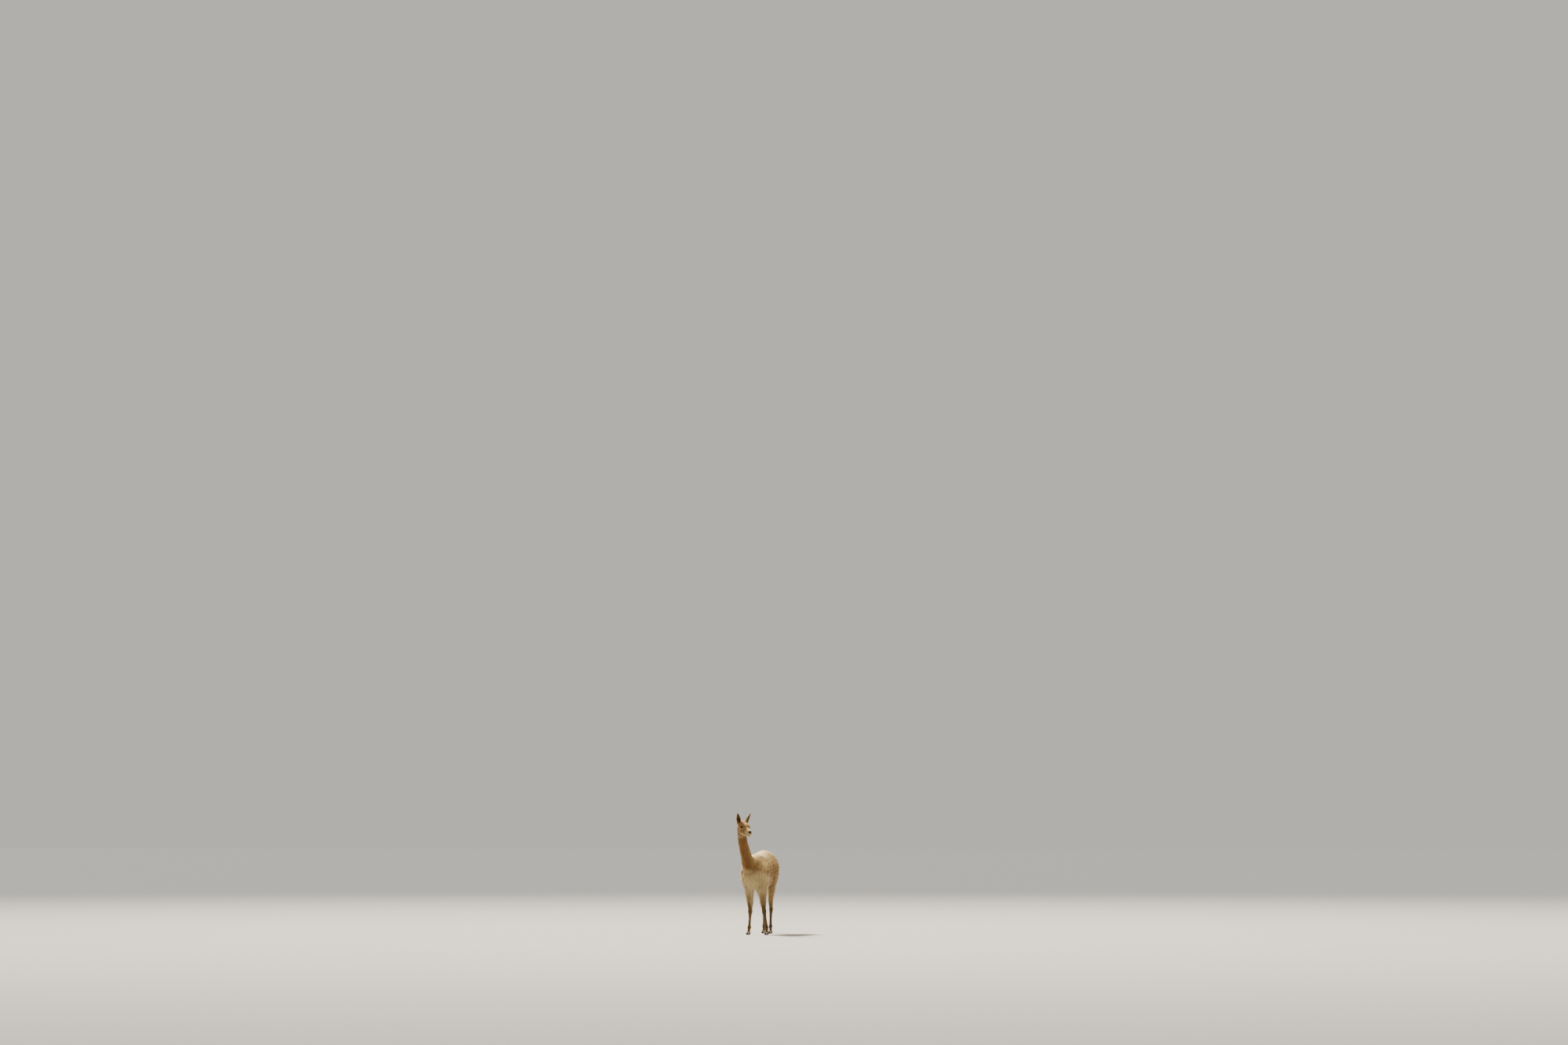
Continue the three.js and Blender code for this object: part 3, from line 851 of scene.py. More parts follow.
class Surface:
    """Places spread over the faces of one part of the skin, each with its outward direction."""

    def __init__(self, part, count, seed, wanted=lambda p, n: 1.0):
        skin = bpy.data.objects.get("skin")
        if skin is None:
            raise RuntimeError("the skin is made first, because every coat grows from it")
        mesh = skin.data
        mesh.calc_loop_triangles()
        faces = numbers_of(mesh.loop_triangles, "polygon_index", 1, np.int32)
        parts = numbers_of(mesh.attributes["part"].data, "value", 1, np.int32)
        triangles = numbers_of(mesh.loop_triangles, "vertices", 3, np.int32)
        triangles = triangles[parts[faces] == PART_NAMES.index(part)]
        corners = design_points(mesh)[triangles]
        normals = vertex_normals(mesh)[triangles]
        area = length(np.cross(corners[:, 1] - corners[:, 0], corners[:, 2] - corners[:, 0])) / 2
        weight = area * wanted(corners.mean(1), unit(normals.sum(1)))
        if not weight.sum() > 0:
            raise RuntimeError(f"no skin of the {part} was found to grow a coat on")
        draw = np.random.default_rng(seed)
        steps = (np.arange(count) + draw.uniform(0, 1, count)) / count * weight.sum()
        chosen = np.minimum(np.searchsorted(np.cumsum(weight), steps), len(weight) - 1)
        a, b = np.sqrt(draw.uniform(0, 1, count)), draw.uniform(0, 1, count)
        mix = np.stack((1 - a, a * (1 - b), a * b), 1)[:, :, None]
        self.points = (corners[chosen] * mix).sum(1)
        self.normals = unit((normals[chosen] * mix).sum(1))
        self.draw = draw


# Charts: where each place lies on an unwrap of its part

def chart(p, start, end, across=(1.0, 0.0, 0.0)):
    """A place round and along an axis, from 0 to 1 each."""
    start, end = np.array(start, float), np.array(end, float)
    along = unit(end - start)
    across = np.array(across, float)
    across = unit(across - along * (across @ along))
    other = np.cross(along, across)
    d = p - start
    v = d @ along / math.dist(start, end)
    u = np.arctan2(d @ other, d @ across) / (2 * math.pi) + 0.5
    return np.column_stack((u, np.clip(v, 0, 1)))


# Clumps of the fleece

def clump_centres(part, gap, count, seed):
    """Some of so many places on a part, none nearer to another than the gap."""
    places = Surface(part, count, seed).points
    kept = []
    for i, p in enumerate(places):
        if not kept or ((places[kept] - p) ** 2).sum(1).min() > gap * gap:
            kept.append(i)
    return places[kept]


def nearest(p, centres):
    """The nearest centre of each point, and how far it is."""
    found, far = np.empty(len(p), int), np.empty(len(p))
    for i in range(0, len(p), 4000):
        squares = ((p[i:i + 4000, None] - centres[None]) ** 2).sum(2)
        found[i:i + 4000] = squares.argmin(1)
        far[i:i + 4000] = np.sqrt(squares.min(1))
    return found, far


# Tufts: each ring is how far along, how far aside and how high its middle lies, its half width
# and its thickness; the last entry is the tip

WOOL = (
    ((0.0, 0.0, 0.0, 0.42, 0.10), (0.44, 0.10, 0.72, 0.50, 0.13), (1.0, -0.2, 0.94, 0, 0)),
    ((0.0, 0.0, 0.0, 0.40, 0.10), (0.38, -0.14, 0.60, 0.50, 0.13), (0.94, 0.35, 0.84, 0, 0)),
    ((0.0, 0.0, 0.0, 0.42, 0.10), (0.50, 0.08, 0.80, 0.44, 0.12), (0.98, 0.5, 1.02, 0, 0)),
)
HAIR = (
    ((0.0, 0.0, 0.0, 0.40, 0.20), (0.42, 0.05, 0.62, 0.50, 0.26), (1.0, -0.2, 0.92, 0, 0)),
    ((0.0, 0.0, 0.0, 0.42, 0.20), (0.46, -0.1, 0.70, 0.46, 0.24), (1.0, 0.3, 0.80, 0, 0)),
)
LONG = (
    ((0.0, 0.0, 0.0, 0.34, 0.16), (0.22, 0.15, 0.52, 0.50, 0.26), (0.5, -0.2, 0.86, 0.46, 0.22),
     (0.8, 0.3, 0.90, 0.26, 0.14), (1.0, 0.0, 0.80, 0, 0)),
    ((0.0, 0.0, 0.0, 0.34, 0.16), (0.2, -0.2, 0.44, 0.48, 0.24), (0.52, 0.25, 0.78, 0.44, 0.22),
     (0.78, -0.1, 0.96, 0.30, 0.14), (1.0, -0.4, 1.0, 0, 0)),
)
TUFTS = {"wool": WOOL, "hair": HAIR, "long": LONG}


def tuft_mesh(name, rings):
    """A closed, three-sided wisp along X that knows its reach from root to tip."""
    points, reach, patch = [], [], []
    for x, y, z, wide, thick in rings[:-1]:
        for side, rise in ((-1, -0.5), (1, -0.5), (0, 1)):
            points.append((x - rise * thick * 0.5, y + side * wide, z + rise * thick))
            reach.append(x)
            patch.append((x - 0.5, side * 0.5, 0))
    x, y, z = rings[-1][:3]
    points.append((x, y, z))
    reach.append(x)
    patch.append((x - 0.5, 0, 0))
    last = len(points) - 1
    faces = [(0, 2, 1)]
    for i in range(len(rings) - 2):
        for j in range(3):
            k = (j + 1) % 3
            faces.append((i * 3 + j, i * 3 + k, i * 3 + 3 + k, i * 3 + 3 + j))
    faces += [(last - 3 + j, last - 3 + (j + 1) % 3, last) for j in range(3)]
    mesh = bpy.data.meshes.new(name)
    mesh.from_pydata(points, [], faces)
    turn_outwards(mesh)
    store(mesh, "reach", reach, "FLOAT")
    store(mesh, "patch", patch, "FLOAT_VECTOR")
    return mesh


def tuft_set(name):
    """A collection of tuft shapes for the coat's tree to pick from."""
    if name in bpy.data.collections:
        return bpy.data.collections[name]
    collection = bpy.data.collections.new(name)
    for i, rings in enumerate(TUFTS[name]):
        piece = bpy.data.objects.new(f"{name}_{i}", tuft_mesh(f"{name}_{i}", rings))
        collection.objects.link(piece)
    return collection


# Node trees

class Value:
    """A socket on which Python arithmetic adds Math nodes."""

    def __init__(self, nodes, socket):
        self.nodes = nodes
        self.socket = socket

    def math(self, operation, *operands):
        inputs = dict(enumerate(operands))
        return self.nodes.value("ShaderNodeMath", {"operation": operation}, inputs)

    def __add__(self, other):
        return self.math("ADD", self, other)

    __radd__ = __add__

    def __mul__(self, other):
        return self.math("MULTIPLY", self, other)

    __rmul__ = __mul__

    def __sub__(self, other):
        return self.math("SUBTRACT", self, other)

    def __rsub__(self, other):
        return self.math("SUBTRACT", other, self)

    def clamped(self):
        return self.math("MINIMUM", self.math("MAXIMUM", self, 0.0), 1.0)


class Nodes:
    """Adds nodes to a tree: their settings first, then the values or links of their sockets."""

    def __init__(self, tree):
        self.tree = tree
        tree.nodes.clear()

    def add(self, kind, settings=None, inputs=None):
        node = self.tree.nodes.new(kind)
        for name, value in (settings or {}).items():
            setattr(node, name, value)
        for key, value in (inputs or {}).items():
            socket = node.inputs[key]
            source = value.socket if isinstance(value, Value) else value
            if isinstance(source, bpy.types.NodeSocket):
                self.tree.links.new(source, socket)
            else:
                socket.default_value = source
        return node

    def value(self, kind, settings=None, inputs=None, output=0):
        return Value(self, self.add(kind, settings, inputs).outputs[output])

    def mix(self, factor, a, b, how="MIX"):
        """One colour over another, as much as the factor says."""
        colours = [c if isinstance(c, Value) else (*c[:3], 1) for c in (a, b)]
        settings = {"data_type": "RGBA", "blend_type": how}
        return self.value("ShaderNodeMix", settings, {0: factor, 6: colours[0], 7: colours[1]}, 2)

    def attribute(self, name, output="Fac"):
        return self.value("ShaderNodeAttribute", {"attribute_name": name}, None, output)

    def noise(self, scale, detail=2.0, stretch=(1, 1, 1)):
        """Noise on the piece's own coordinates, in metres."""
        place = self.value("ShaderNodeTexCoord", output="Object")
        if stretch != (1, 1, 1):
            place = self.value("ShaderNodeMapping", None, {"Vector": place, "Scale": stretch})
        return self.value("ShaderNodeTexNoise", None, {
            "Vector": place, "Scale": scale, "Detail": detail})

    def bump(self, height, strength, distance):
        return self.value("ShaderNodeBump", None, {
            "Strength": strength, "Distance": distance, "Height": height})

    def surface(self, inputs):
        """Ends the tree in one surface shader with these sockets."""
        shader = self.add("ShaderNodeBsdfPrincipled", None, inputs)
        self.add("ShaderNodeOutputMaterial", None, {"Surface": shader.outputs[0]})


def finish_of(name):
    """The material of that name, made when it is first asked for."""
    material = bpy.data.materials.get(name)
    if material is None:
        material = bpy.data.materials.new(name)
        material.use_nodes = True
        FINISHES[name](Nodes(material.node_tree))
    return material


def shared_tone(nodes):
    """The marking's colour, with its painted light and shade, and the same fine wander of tone on
    skin and hair alike.
    """
    broad = nodes.noise(9.0, 3.0)
    fine = nodes.noise(70.0, 2.0)
    shade = (broad * 0.6 + fine * 0.4 - 0.5) * 1.8
    marking_and_painted_light = nodes.attribute("coat", "Color")
    darker = nodes.mix((0.45 - shade).clamped(), marking_and_painted_light, (0.72, 0.68, 0.62), "MULTIPLY")
    return nodes.mix((shade * 1.5).clamped(), darker, (1.2, 1.18, 1.14), "MULTIPLY")


def hair(rough, root, sheen):
    """Hair whose roots are deeper in tone than its tips, each tuft a little different."""

    def finish(nodes):
        reach, tone = nodes.attribute("reach"), nodes.attribute("tone")
        base = shared_tone(nodes)
        # The tone darkens the roots and dims the tips; on the fleece it also carries painted shade
        # between the clumps.
        deep = ((1.0 - reach * 1.35).clamped() * 0.7 + tone * 0.45).clamped()
        colour = nodes.mix(deep, base, root, "MULTIPLY")
        lit = (reach * 0.8 - tone * 0.5).clamped()
        colour = nodes.mix(lit, colour, (1.3, 1.26, 1.18), "MULTIPLY")
        nodes.surface({
            "Base Color": colour, "Roughness": rough, "Specular IOR Level": 0.2,
            "Sheen Weight": sheen, "Sheen Roughness": 0.6, "Sheen Tint": SHEEN_TINT,
            "Subsurface Weight": 0.4, "Subsurface Radius": (1.0, 0.7, 0.4),
            "Subsurface Scale": 0.008,
        })

    return finish


def skin_finish(nodes):
    """Short, close hair over skin, and bare dark skin where the nose, lips and lids show it."""
    bare = nodes.attribute("bare")
    strands = nodes.noise(520.0, 3.0, (1, 1, 0.22))
    pores = nodes.noise(900.0, 2.0)
    base = shared_tone(nodes)
    colour = nodes.mix((strands - 0.35).clamped() * 0.9, base, (0.6, 0.55, 0.5), "MULTIPLY")
    colour = nodes.mix(bare * 0.9, colour, coat_tones().bare)
    bump = nodes.bump(strands * (1.0 - bare) + pores * bare * 0.5, 0.6, 0.0012)
    nodes.surface({
        "Base Color": colour, "Roughness": 0.9 - bare * 0.4, "Specular IOR Level": 0.3,
        "Normal": bump, "Sheen Weight": 0.08, "Sheen Tint": SHEEN_TINT,
    })


def eye_finish(nodes):
    """Wet, dark eye with a brown iris and a black, level pupil."""
    rays = nodes.noise(260.0, 3.0)
    iris = nodes.mix((rays - 0.3).clamped(), coat_tones().iris, (0.09, 0.045, 0.02))
    colour = nodes.mix(nodes.attribute("pupil"), iris, (0.002, 0.002, 0.002))
    nodes.surface({
        "Base Color": colour, "Roughness": 0.07, "IOR": 1.2, "Coat Weight": 0.2,
        "Coat Roughness": 0.02,
    })


def lash_finish(nodes):
    tone = nodes.mix(nodes.attribute("tone"), (0.012, 0.008, 0.006), (0.05, 0.032, 0.02))
    nodes.surface({"Base Color": tone, "Roughness": 0.5})


def nail_finish(nodes):
    """Horn with fine growth lines, worn paler towards its tip."""
    lines = nodes.noise(300.0, 4.0, (1, 5, 1))
    worn = nodes.attribute("reach")
    base = nodes.mix((lines - 0.3).clamped(), coat_tones().nail, (0.1, 0.075, 0.055))
    colour = nodes.mix(worn * 0.3, base, (0.16, 0.125, 0.09))
    bump = nodes.bump(lines, 0.5, 0.0006)
    nodes.surface({"Base Color": colour, "Roughness": 0.48 + lines * 0.25, "Normal": bump})


def floor_finish(nodes):
    """A pale floor that fades to the tone of the room with distance."""
    speckle = nodes.noise(40.0, 4.0)
    studio = bpy.context.scene.vicuna_studio
    near = nodes.mix(speckle * 0.08, studio.floor, (0.6, 0.58, 0.55))
    place = nodes.value("ShaderNodeTexCoord", output="Object")
    away = nodes.value("ShaderNodeVectorMath", {"operation": "LENGTH"}, {0: place}, 1)
    fade_start, fade_rate = 1.5, 0.03
    far = ((away - fade_start) * fade_rate).clamped()
    colour = nodes.mix(far * far * (3.0 - far * 2.0), near, studio.far_floor)
    nodes.surface({"Base Color": colour, "Roughness": 0.9, "Specular IOR Level": 0.03})


# Hair takes its roughness, what darkens its roots, and its sheen
FINISHES = {
    "fleece_wool": hair(0.92, (0.56, 0.46, 0.36), 0.15),
    "neck_wool": hair(0.9, (0.58, 0.49, 0.40), 0.12),
    "short_hair": hair(0.85, (0.66, 0.58, 0.50), 0.06),
    "bib_hair": hair(0.85, (0.62, 0.53, 0.43), 0.1),
    "short_hair_and_skin": skin_finish,
    "wet_eye": eye_finish,
    "dark_lash": lash_finish,
    "nail_horn": nail_finish,
    "studio_floor": floor_finish,
}


def coat_tree():
    """Geometry Nodes that set a tuft on every root, along its lie, as plain mesh."""
    name = "Coat from roots"
    if name in bpy.data.node_groups:
        return bpy.data.node_groups[name]
    tree = bpy.data.node_groups.new(name, "GeometryNodeTree")
    for socket, kind in (("Roots", "Geometry"), ("Tufts", "Collection"), ("Finish", "Material"),
                         ("Patch size", "Float")):
        made = tree.interface.new_socket(socket, in_out="INPUT", socket_type=f"NodeSocket{kind}")
    made.default_value = PATCH_SIZE
    tree.interface.new_socket("Coat", in_out="OUTPUT", socket_type="NodeSocketGeometry")
    nodes = Nodes(tree)
    start = nodes.add("NodeGroupInput").outputs

    def kept(name, kind="FLOAT_VECTOR"):
        return nodes.value("GeometryNodeInputNamedAttribute", {"data_type": kind}, {"Name": name})

    tufts = nodes.value("GeometryNodeCollectionInfo", None, {
        "Collection": start["Tufts"], "Separate Children": True, "Reset Children": True})
    turn = nodes.value("FunctionNodeAxesToRotation", {"primary_axis": "Z", "secondary_axis": "X"}, {
        "Primary Axis": kept("out"), "Secondary Axis": kept("lie")})
    grown = nodes.value("GeometryNodeInstanceOnPoints", None, {
        "Points": start["Roots"], "Instance": tufts, "Pick Instance": True,
        "Instance Index": kept("kind", "INT"), "Rotation": turn, "Scale": kept("size")})
    plain = nodes.value("GeometryNodeRealizeInstances", None, {"Geometry": grown})
    spread = nodes.value("ShaderNodeVectorMath", {"operation": "SCALE"}, {
        0: kept("patch"), "Scale": start["Patch size"]})
    place = nodes.value("ShaderNodeVectorMath", {"operation": "ADD"}, {
        0: kept("root_place"), 1: spread})
    per_corner = {"data_type": "FLOAT2", "domain": "CORNER"}
    mapped = nodes.value("GeometryNodeStoreNamedAttribute", per_corner, {
        "Geometry": plain, "Name": "OFBake", "Value": place})
    for used in ("lie", "kind", "size", "root_place", "patch"):
        mapped = nodes.value("GeometryNodeRemoveAttribute", None, {"Geometry": mapped, "Name": used})
    smooth = nodes.value("GeometryNodeSetShadeSmooth", None, {"Geometry": mapped})
    done = nodes.value("GeometryNodeSetMaterial", None, {
        "Geometry": smooth, "Material": start["Finish"]})
    nodes.add("NodeGroupOutput", None, {"Coat": done})
    return tree


class Roots:
    """Where tufts grow, and each one's lie, outward direction, size, place on the map and tone,
    which on the fleece also carries painted shade between the clumps.
    """

    def __init__(self, points, normals, lie, size, place, draw, tufts):
        self.points = points
        self.normals = normals
        self.lie = lie
        self.size = size
        self.place = place
        self.tufts = tufts
        self.kind = draw.integers(0, len(TUFTS[tufts]), len(points))
        self.tone = draw.uniform(0, 1, len(points))


def grow(name, roots, finish):
    """Grows one piece of coat from its roots and leaves it as a plain mesh in the frame."""
    mesh = mesh_from(name, roots.points)
    place = np.column_stack((roots.place, np.zeros(len(roots.place))))
    store(mesh, "lie", roots.lie, "FLOAT_VECTOR")
    store(mesh, "out", roots.normals, "FLOAT_VECTOR")
    store(mesh, "size", roots.size * MM, "FLOAT_VECTOR")
    store(mesh, "root_place", place, "FLOAT_VECTOR")
    store(mesh, "kind", roots.kind, "INT")
    store(mesh, "tone", roots.tone, "FLOAT")
    store_markings_and_painted_light(mesh, roots.points, roots.normals)
    piece = add_piece(name, mesh)
    tree = coat_tree()
    modifier = piece.modifiers.new("Coat", "NODES")
    modifier.node_group = tree
    values = {"Tufts": tuft_set(roots.tufts), "Finish": finish_of(finish), "Patch size": PATCH_SIZE}
    for item in tree.interface.items_tree:
        if item.in_out == "INPUT" and item.name in values:
            modifier[item.identifier] = values[item.name]
    flatten(piece)
    soften(piece.data, 0.55)
    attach(piece, "root")


def soften(mesh, share):
    """Turns the shading of a coat part of the way to that of the skin it grows from."""
    out = numbers_of(mesh.attributes["out"].data, "vector")
    leaned = unit(vertex_normals(mesh) * (1 - share) + out * share)
    mesh.attributes.remove(mesh.attributes["out"])
    mesh.normals_split_custom_set_from_vertices(leaned.tolist())


def sizes_of(draw, count, long, wide, high, spread=0.25):
    """Length, width and height of each tuft, each varied by the spread."""
    vary = 1 + draw.uniform(-spread, spread, (count, 3))
    return np.array((long, wide, high)) * vary


def dress(mesh):
    """Gives the skin its markings with their painted light and shade, and its bare places."""
    p = design_points(mesh)
    store_markings_and_painted_light(mesh, p, vertex_normals(mesh))
    store(mesh, "bare", bareness(p), "FLOAT")
    middles = numbers_of(mesh.polygons, "center") / MM - OFFSET
    store(mesh, "part", strongest(middles), "INT", "FACE")


# Settings

def size_in(text, default, name):
    return bpy.props.FloatProperty(
        name=name, description=text, default=default, min=0.0, subtype="DISTANCE", unit="LENGTH")


def tone_of(text, code, name):
    return bpy.props.FloatVectorProperty(
        name=name, description=text, default=linear(code), size=3, min=0.0, max=1.0,
        subtype="COLOR")


def angle_of(text, degrees, name):
    return bpy.props.FloatProperty(
        name=name, description=text, default=math.radians(degrees),
        subtype="ANGLE", unit="ROTATION")


def count_of(text, default, name):
    return bpy.props.IntProperty(name=name, description=text, default=default, min=1)


class VicunaSizes(bpy.types.PropertyGroup):
    skin_square: size_in("Side of the squares that the skin is drawn in", 0.008, "Skin square")
    ear_wall: size_in("Thickness of an ear", 0.0032, "Ear wall")


class VicunaCoat(bpy.types.PropertyGroup):
    fleece_count: count_of("Tufts on each quarter of the torso", 16000, "Fleece tufts")
    fleece_length: size_in("Length of a tuft of fleece", 0.033, "Fleece length")
    fleece_width: size_in("Width of a tuft of fleece", 0.0036, "Fleece width")
    fleece_height: size_in("Height of the fleece over the skin", 0.021, "Fleece height")
    clump_gap: size_in("Distance between the clumps of the fleece", 0.030, "Clump gap")
    neck_count: count_of("Tufts on each side of the neck", 14500, "Neck tufts")
    head_count: count_of("Tufts on each side of the head", 10500, "Head tufts")
    leg_count: count_of("Tufts on each leg", 5600, "Leg tufts")
    ear_count: count_of("Tufts on each ear", 3600, "Ear tufts")
    tail_count: count_of("Locks on the tail", 2600, "Tail locks")
    bib_count: count_of("Locks of the bib under the chest", 900, "Bib locks")


class VicunaColours(bpy.types.PropertyGroup):
    # The back tone is partly the coat's own paler back and partly painted sunlight on the top of the
    # body; it is also laid on the nose bridge as painted sunlight.
    back: tone_of("Top of the back and rump", "f2cc8a", "Back")
    flank: tone_of("Sides of the body", "7d5b30", "Flank")
    neck: tone_of("Neck", "815a31", "Neck")
    head: tone_of("Crown, cheeks and backs of the ears", "ae8044", "Head")
    leg: tone_of("Upper legs", "a0865e", "Upper leg")
    shin: tone_of("Shins and ear tips", "543a22", "Shin")
    cream: tone_of("Bib, belly, inner legs and muzzle", "d7c193", "Cream")
    # Painted shade for the hollow inside the ears.
    ear_hollow_shade: tone_of("Inside of the ears", "4a3626", "Ear hollow shade")
    bare: tone_of("Bare skin of nose, lips and lids", "1d1614", "Bare skin")
    iris: tone_of("Iris of the eye", "1c0f08", "Iris")
    nail: tone_of("Nails", "2f2822", "Nail")


class VicunaStudio(bpy.types.PropertyGroup):
    distance: size_in("Distance of the camera from the animal", 41.8, "Distance")
    height: size_in("Height of the camera above the floor", 1.084, "Height")
    azimuth: angle_of("Camera's place round the animal", 12.5, "Azimuth")
    pitch: angle_of("How far the camera looks up", 4.86, "Pitch")
    yaw: angle_of("How far the camera looks to the right of the animal", 0.375, "Yaw")
    lens: bpy.props.FloatProperty(
        name="Lens", description="Focal length", default=85.0,
        subtype="DISTANCE_CAMERA", unit="CAMERA")
    floor: tone_of("Floor round the animal", "b4afa6", "Floor")
    far_floor: tone_of("Floor far from the animal", "6c6c6c", "Far floor")
    sky: tone_of("Light of the room", "f4efe6", "Room")


# Operators

class VICUNA_OT_skin(bpy.types.Operator):
    """Draw the skin of the whole animal, with lids, nostrils, lips and ears"""

    bl_idname = "vicuna.skin"
    bl_label = "Skin"

    def execute(self, context):
        sizes = context.scene.vicuna_sizes
        skin = build_skin(sizes.skin_square / MM, sizes.ear_wall / MM)
        least_faces = 10000
        if len(skin.data.polygons) < least_faces:
            raise RuntimeError("the skin came out empty")
        dress(skin.data)
        skin.data.materials.clear()
        skin.data.materials.append(finish_of("short_hair_and_skin"))
        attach(skin, "root")
        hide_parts("torso", "neck", "head", "tail", "ear_left", "ear_right", *LEGS)
        return {"FINISHED"}


class VICUNA_OT_fleece(bpy.types.Operator):
    """Grow the fleece of the torso in clumps, a quarter at a time"""

    bl_idname = "vicuna.fleece"
    bl_label = "Fleece"

    def execute(self, context):
        coat = context.scene.vicuna_coat
        centres = clump_centres("torso", coat.clump_gap / MM, count=9000, seed=31)
        for end, half in (("front", -1), ("rear", 1)):
            for side, s in SIDES:
                def wanted(p, n, s=s, half=half):
                    return (p[:, 0] * s >= 0) & ((p[:, 1] - 10) * half > 0)
                place = Surface("torso", coat.fleece_count, 100 + 10 * half + s, wanted)
                roots = fleece_roots(place, centres, coat)
                grow(f"fleece_{end}_{side}", roots, "fleece_wool")
        return {"FINISHED"}


def fleece_roots(place, centres, coat):
    """Roots whose tufts lean together towards the free end of the clump that they belong to."""
    p, n, draw = place.points, place.normals, place.draw
    lie = lie_of(p, n)
    gap, long, wide, high = (
        getattr(coat, name) / MM
        for name in ("clump_gap", "fleece_length", "fleece_width", "fleece_height"))
    found, far = nearest(p + lie * gap * 0.1, centres)
    to_tip = level(centres[found] + lie * gap * 0.55 - p, n)
    lumpy = 0.35 + 0.65 * smoothstep(np.abs(n[:, 0]), 0.3, 0.85)
    lean = strayed(lie + to_tip / gap * (0.9 * lumpy)[:, None], n, draw, 0.18)
    size = sizes_of(draw, len(p), long, wide, high)
    bulk = np.random.default_rng(5).uniform(0.8, 1.15, len(centres))[found]
    dome = 1.05 - 0.45 * lumpy * np.clip(far / (gap * 0.62), 0, 1) ** 2
    size[:, 2] *= bulk * dome
    under = smoothstep(-n[:, 2], 0.3, 0.8)
    size[:, 2] *= 1 - 0.35 * under
    brisket = smoothstep(np.abs(p[:, 0]), 70, 110) * smoothstep(-p[:, 1], 130, 230)
    size[:, 2] *= 1 + 0.25 * brisket * np.exp(-((p[:, 2] - 640) / 120) ** 2)
    size[:, 2] *= 0.6 + 0.4 * smoothstep(shares(p)["torso"], 0.5, 0.9)
    where = chart(p, (0, -420, 700), (0, 460, 760), (0, 0, 1))
    roots = Roots(p, n, lean, size, where, draw, "wool")
    # Painted shade between the clumps: tufts darken towards the edge of their clump, on top of their
    # own random tone.
    edge = np.clip(far / (gap * 0.6), 0, 1) ** 2 * 0.9 * lumpy
    roots.tone = np.clip(roots.tone * 0.5 + edge - 0.05, 0, 1)
    return roots


class VICUNA_OT_neck_coat(bpy.types.Operator):
    """Grow the wool of the neck, which shortens towards the head"""

    bl_idname = "vicuna.neck_coat"
    bl_label = "Neck coat"

    def execute(self, context):
        centres = clump_centres("neck", 22, count=5000, seed=41)
        spine = np.array([place for place, _, _ in NECK_STATIONS], float)
        for side, s in SIDES:
            def wanted(p, n, s=s):
                return (p[:, 0] - np.interp(p[:, 2], spine[:, 2], spine[:, 0])) * s >= 0
            place = Surface("neck", context.scene.vicuna_coat.neck_count, 200 + s, wanted)
            p, n, draw = place.points, place.normals, place.draw
            lie = lie_of(p, n)
            found, far = nearest(p, centres)
            to_tip = level(centres[found] + lie * 13 - p, n)
            lean = strayed(lie + to_tip / 52, n, draw, 0.14)
            size = sizes_of(draw, len(p), 23, 2.9, 1.0)
            deep = neck_depth(p)
            size[:, 2] *= deep * (1.05 - 0.3 * np.clip(far / 14, 0, 1) ** 2)
            size[:, 0] *= 0.7 + 0.3 * (deep - 7) / 8
            where = chart(p, NECK_STATIONS[-1][0], NECK_STATIONS[0][0], (0, 1, 0))
            roots = Roots(p, n, lean, size, where, draw, "wool")
            grow(f"neck_coat_{side}", roots, "neck_wool")
        return {"FINISHED"}


def short_coat(name, place, sizes, where):
    """Short hair that follows its lie."""
    p, n, draw = place.points, place.normals, place.draw
    lean = strayed(lie_of(p, n), n, draw, 0.13)
    grow(name, Roots(p, n, lean, sizes, where, draw, "hair"), "short_hair")


class VICUNA_OT_head_coat(bpy.types.Operator):
    """Grow the short hair of the head, shortest on the nose and round the eyes"""

    bl_idname = "vicuna.head_coat"
    bl_label = "Head coat"

    def execute(self, context):
        for side, s in SIDES:
            def wanted(p, n, s=s):
                q = to_head(p)
                dense = 1 + 1.6 * smoothstep(-q[:, 1], 90, 170)
                rim = (nose_place(q) > 0.93) & (nose_place(q) < 1.4)
                return (q[:, 0] * s >= 0) * ((bareness(p) < 0.7) | rim) * dense
            place = Surface("head", context.scene.vicuna_coat.head_count, 300 + s, wanted)
            q = to_head(place.points)
            muzzle = smoothstep(-q[:, 1], 90, 175)
            eyes = np.minimum(*(length(q - eye_place(k)) for _, k in SIDES))
            close = np.maximum(muzzle, 1 - smoothstep(eyes, 20, 36))
            crown = smoothstep(q[:, 2], 45, 75) * smoothstep(q[:, 1], -70, -20)
            long = 11.5 - 6.5 * close + 7 * crown
            wide = 2.5 - 1.1 * close + 0.8 * crown
            high = 3.4 - 1.7 * close + 5 * crown
            sizes = sizes_of(place.draw, len(q), 1, 1, 1) * np.column_stack((long, wide, high))
            nape, nose = (from_head(np.array(q, float)) for q in ((0, 30, 20), (0, -210, -20)))
            where = chart(place.points, nape, nose, (0, 0, 1))
            short_coat(f"head_coat_{side}", place, sizes, where)
        return {"FINISHED"}


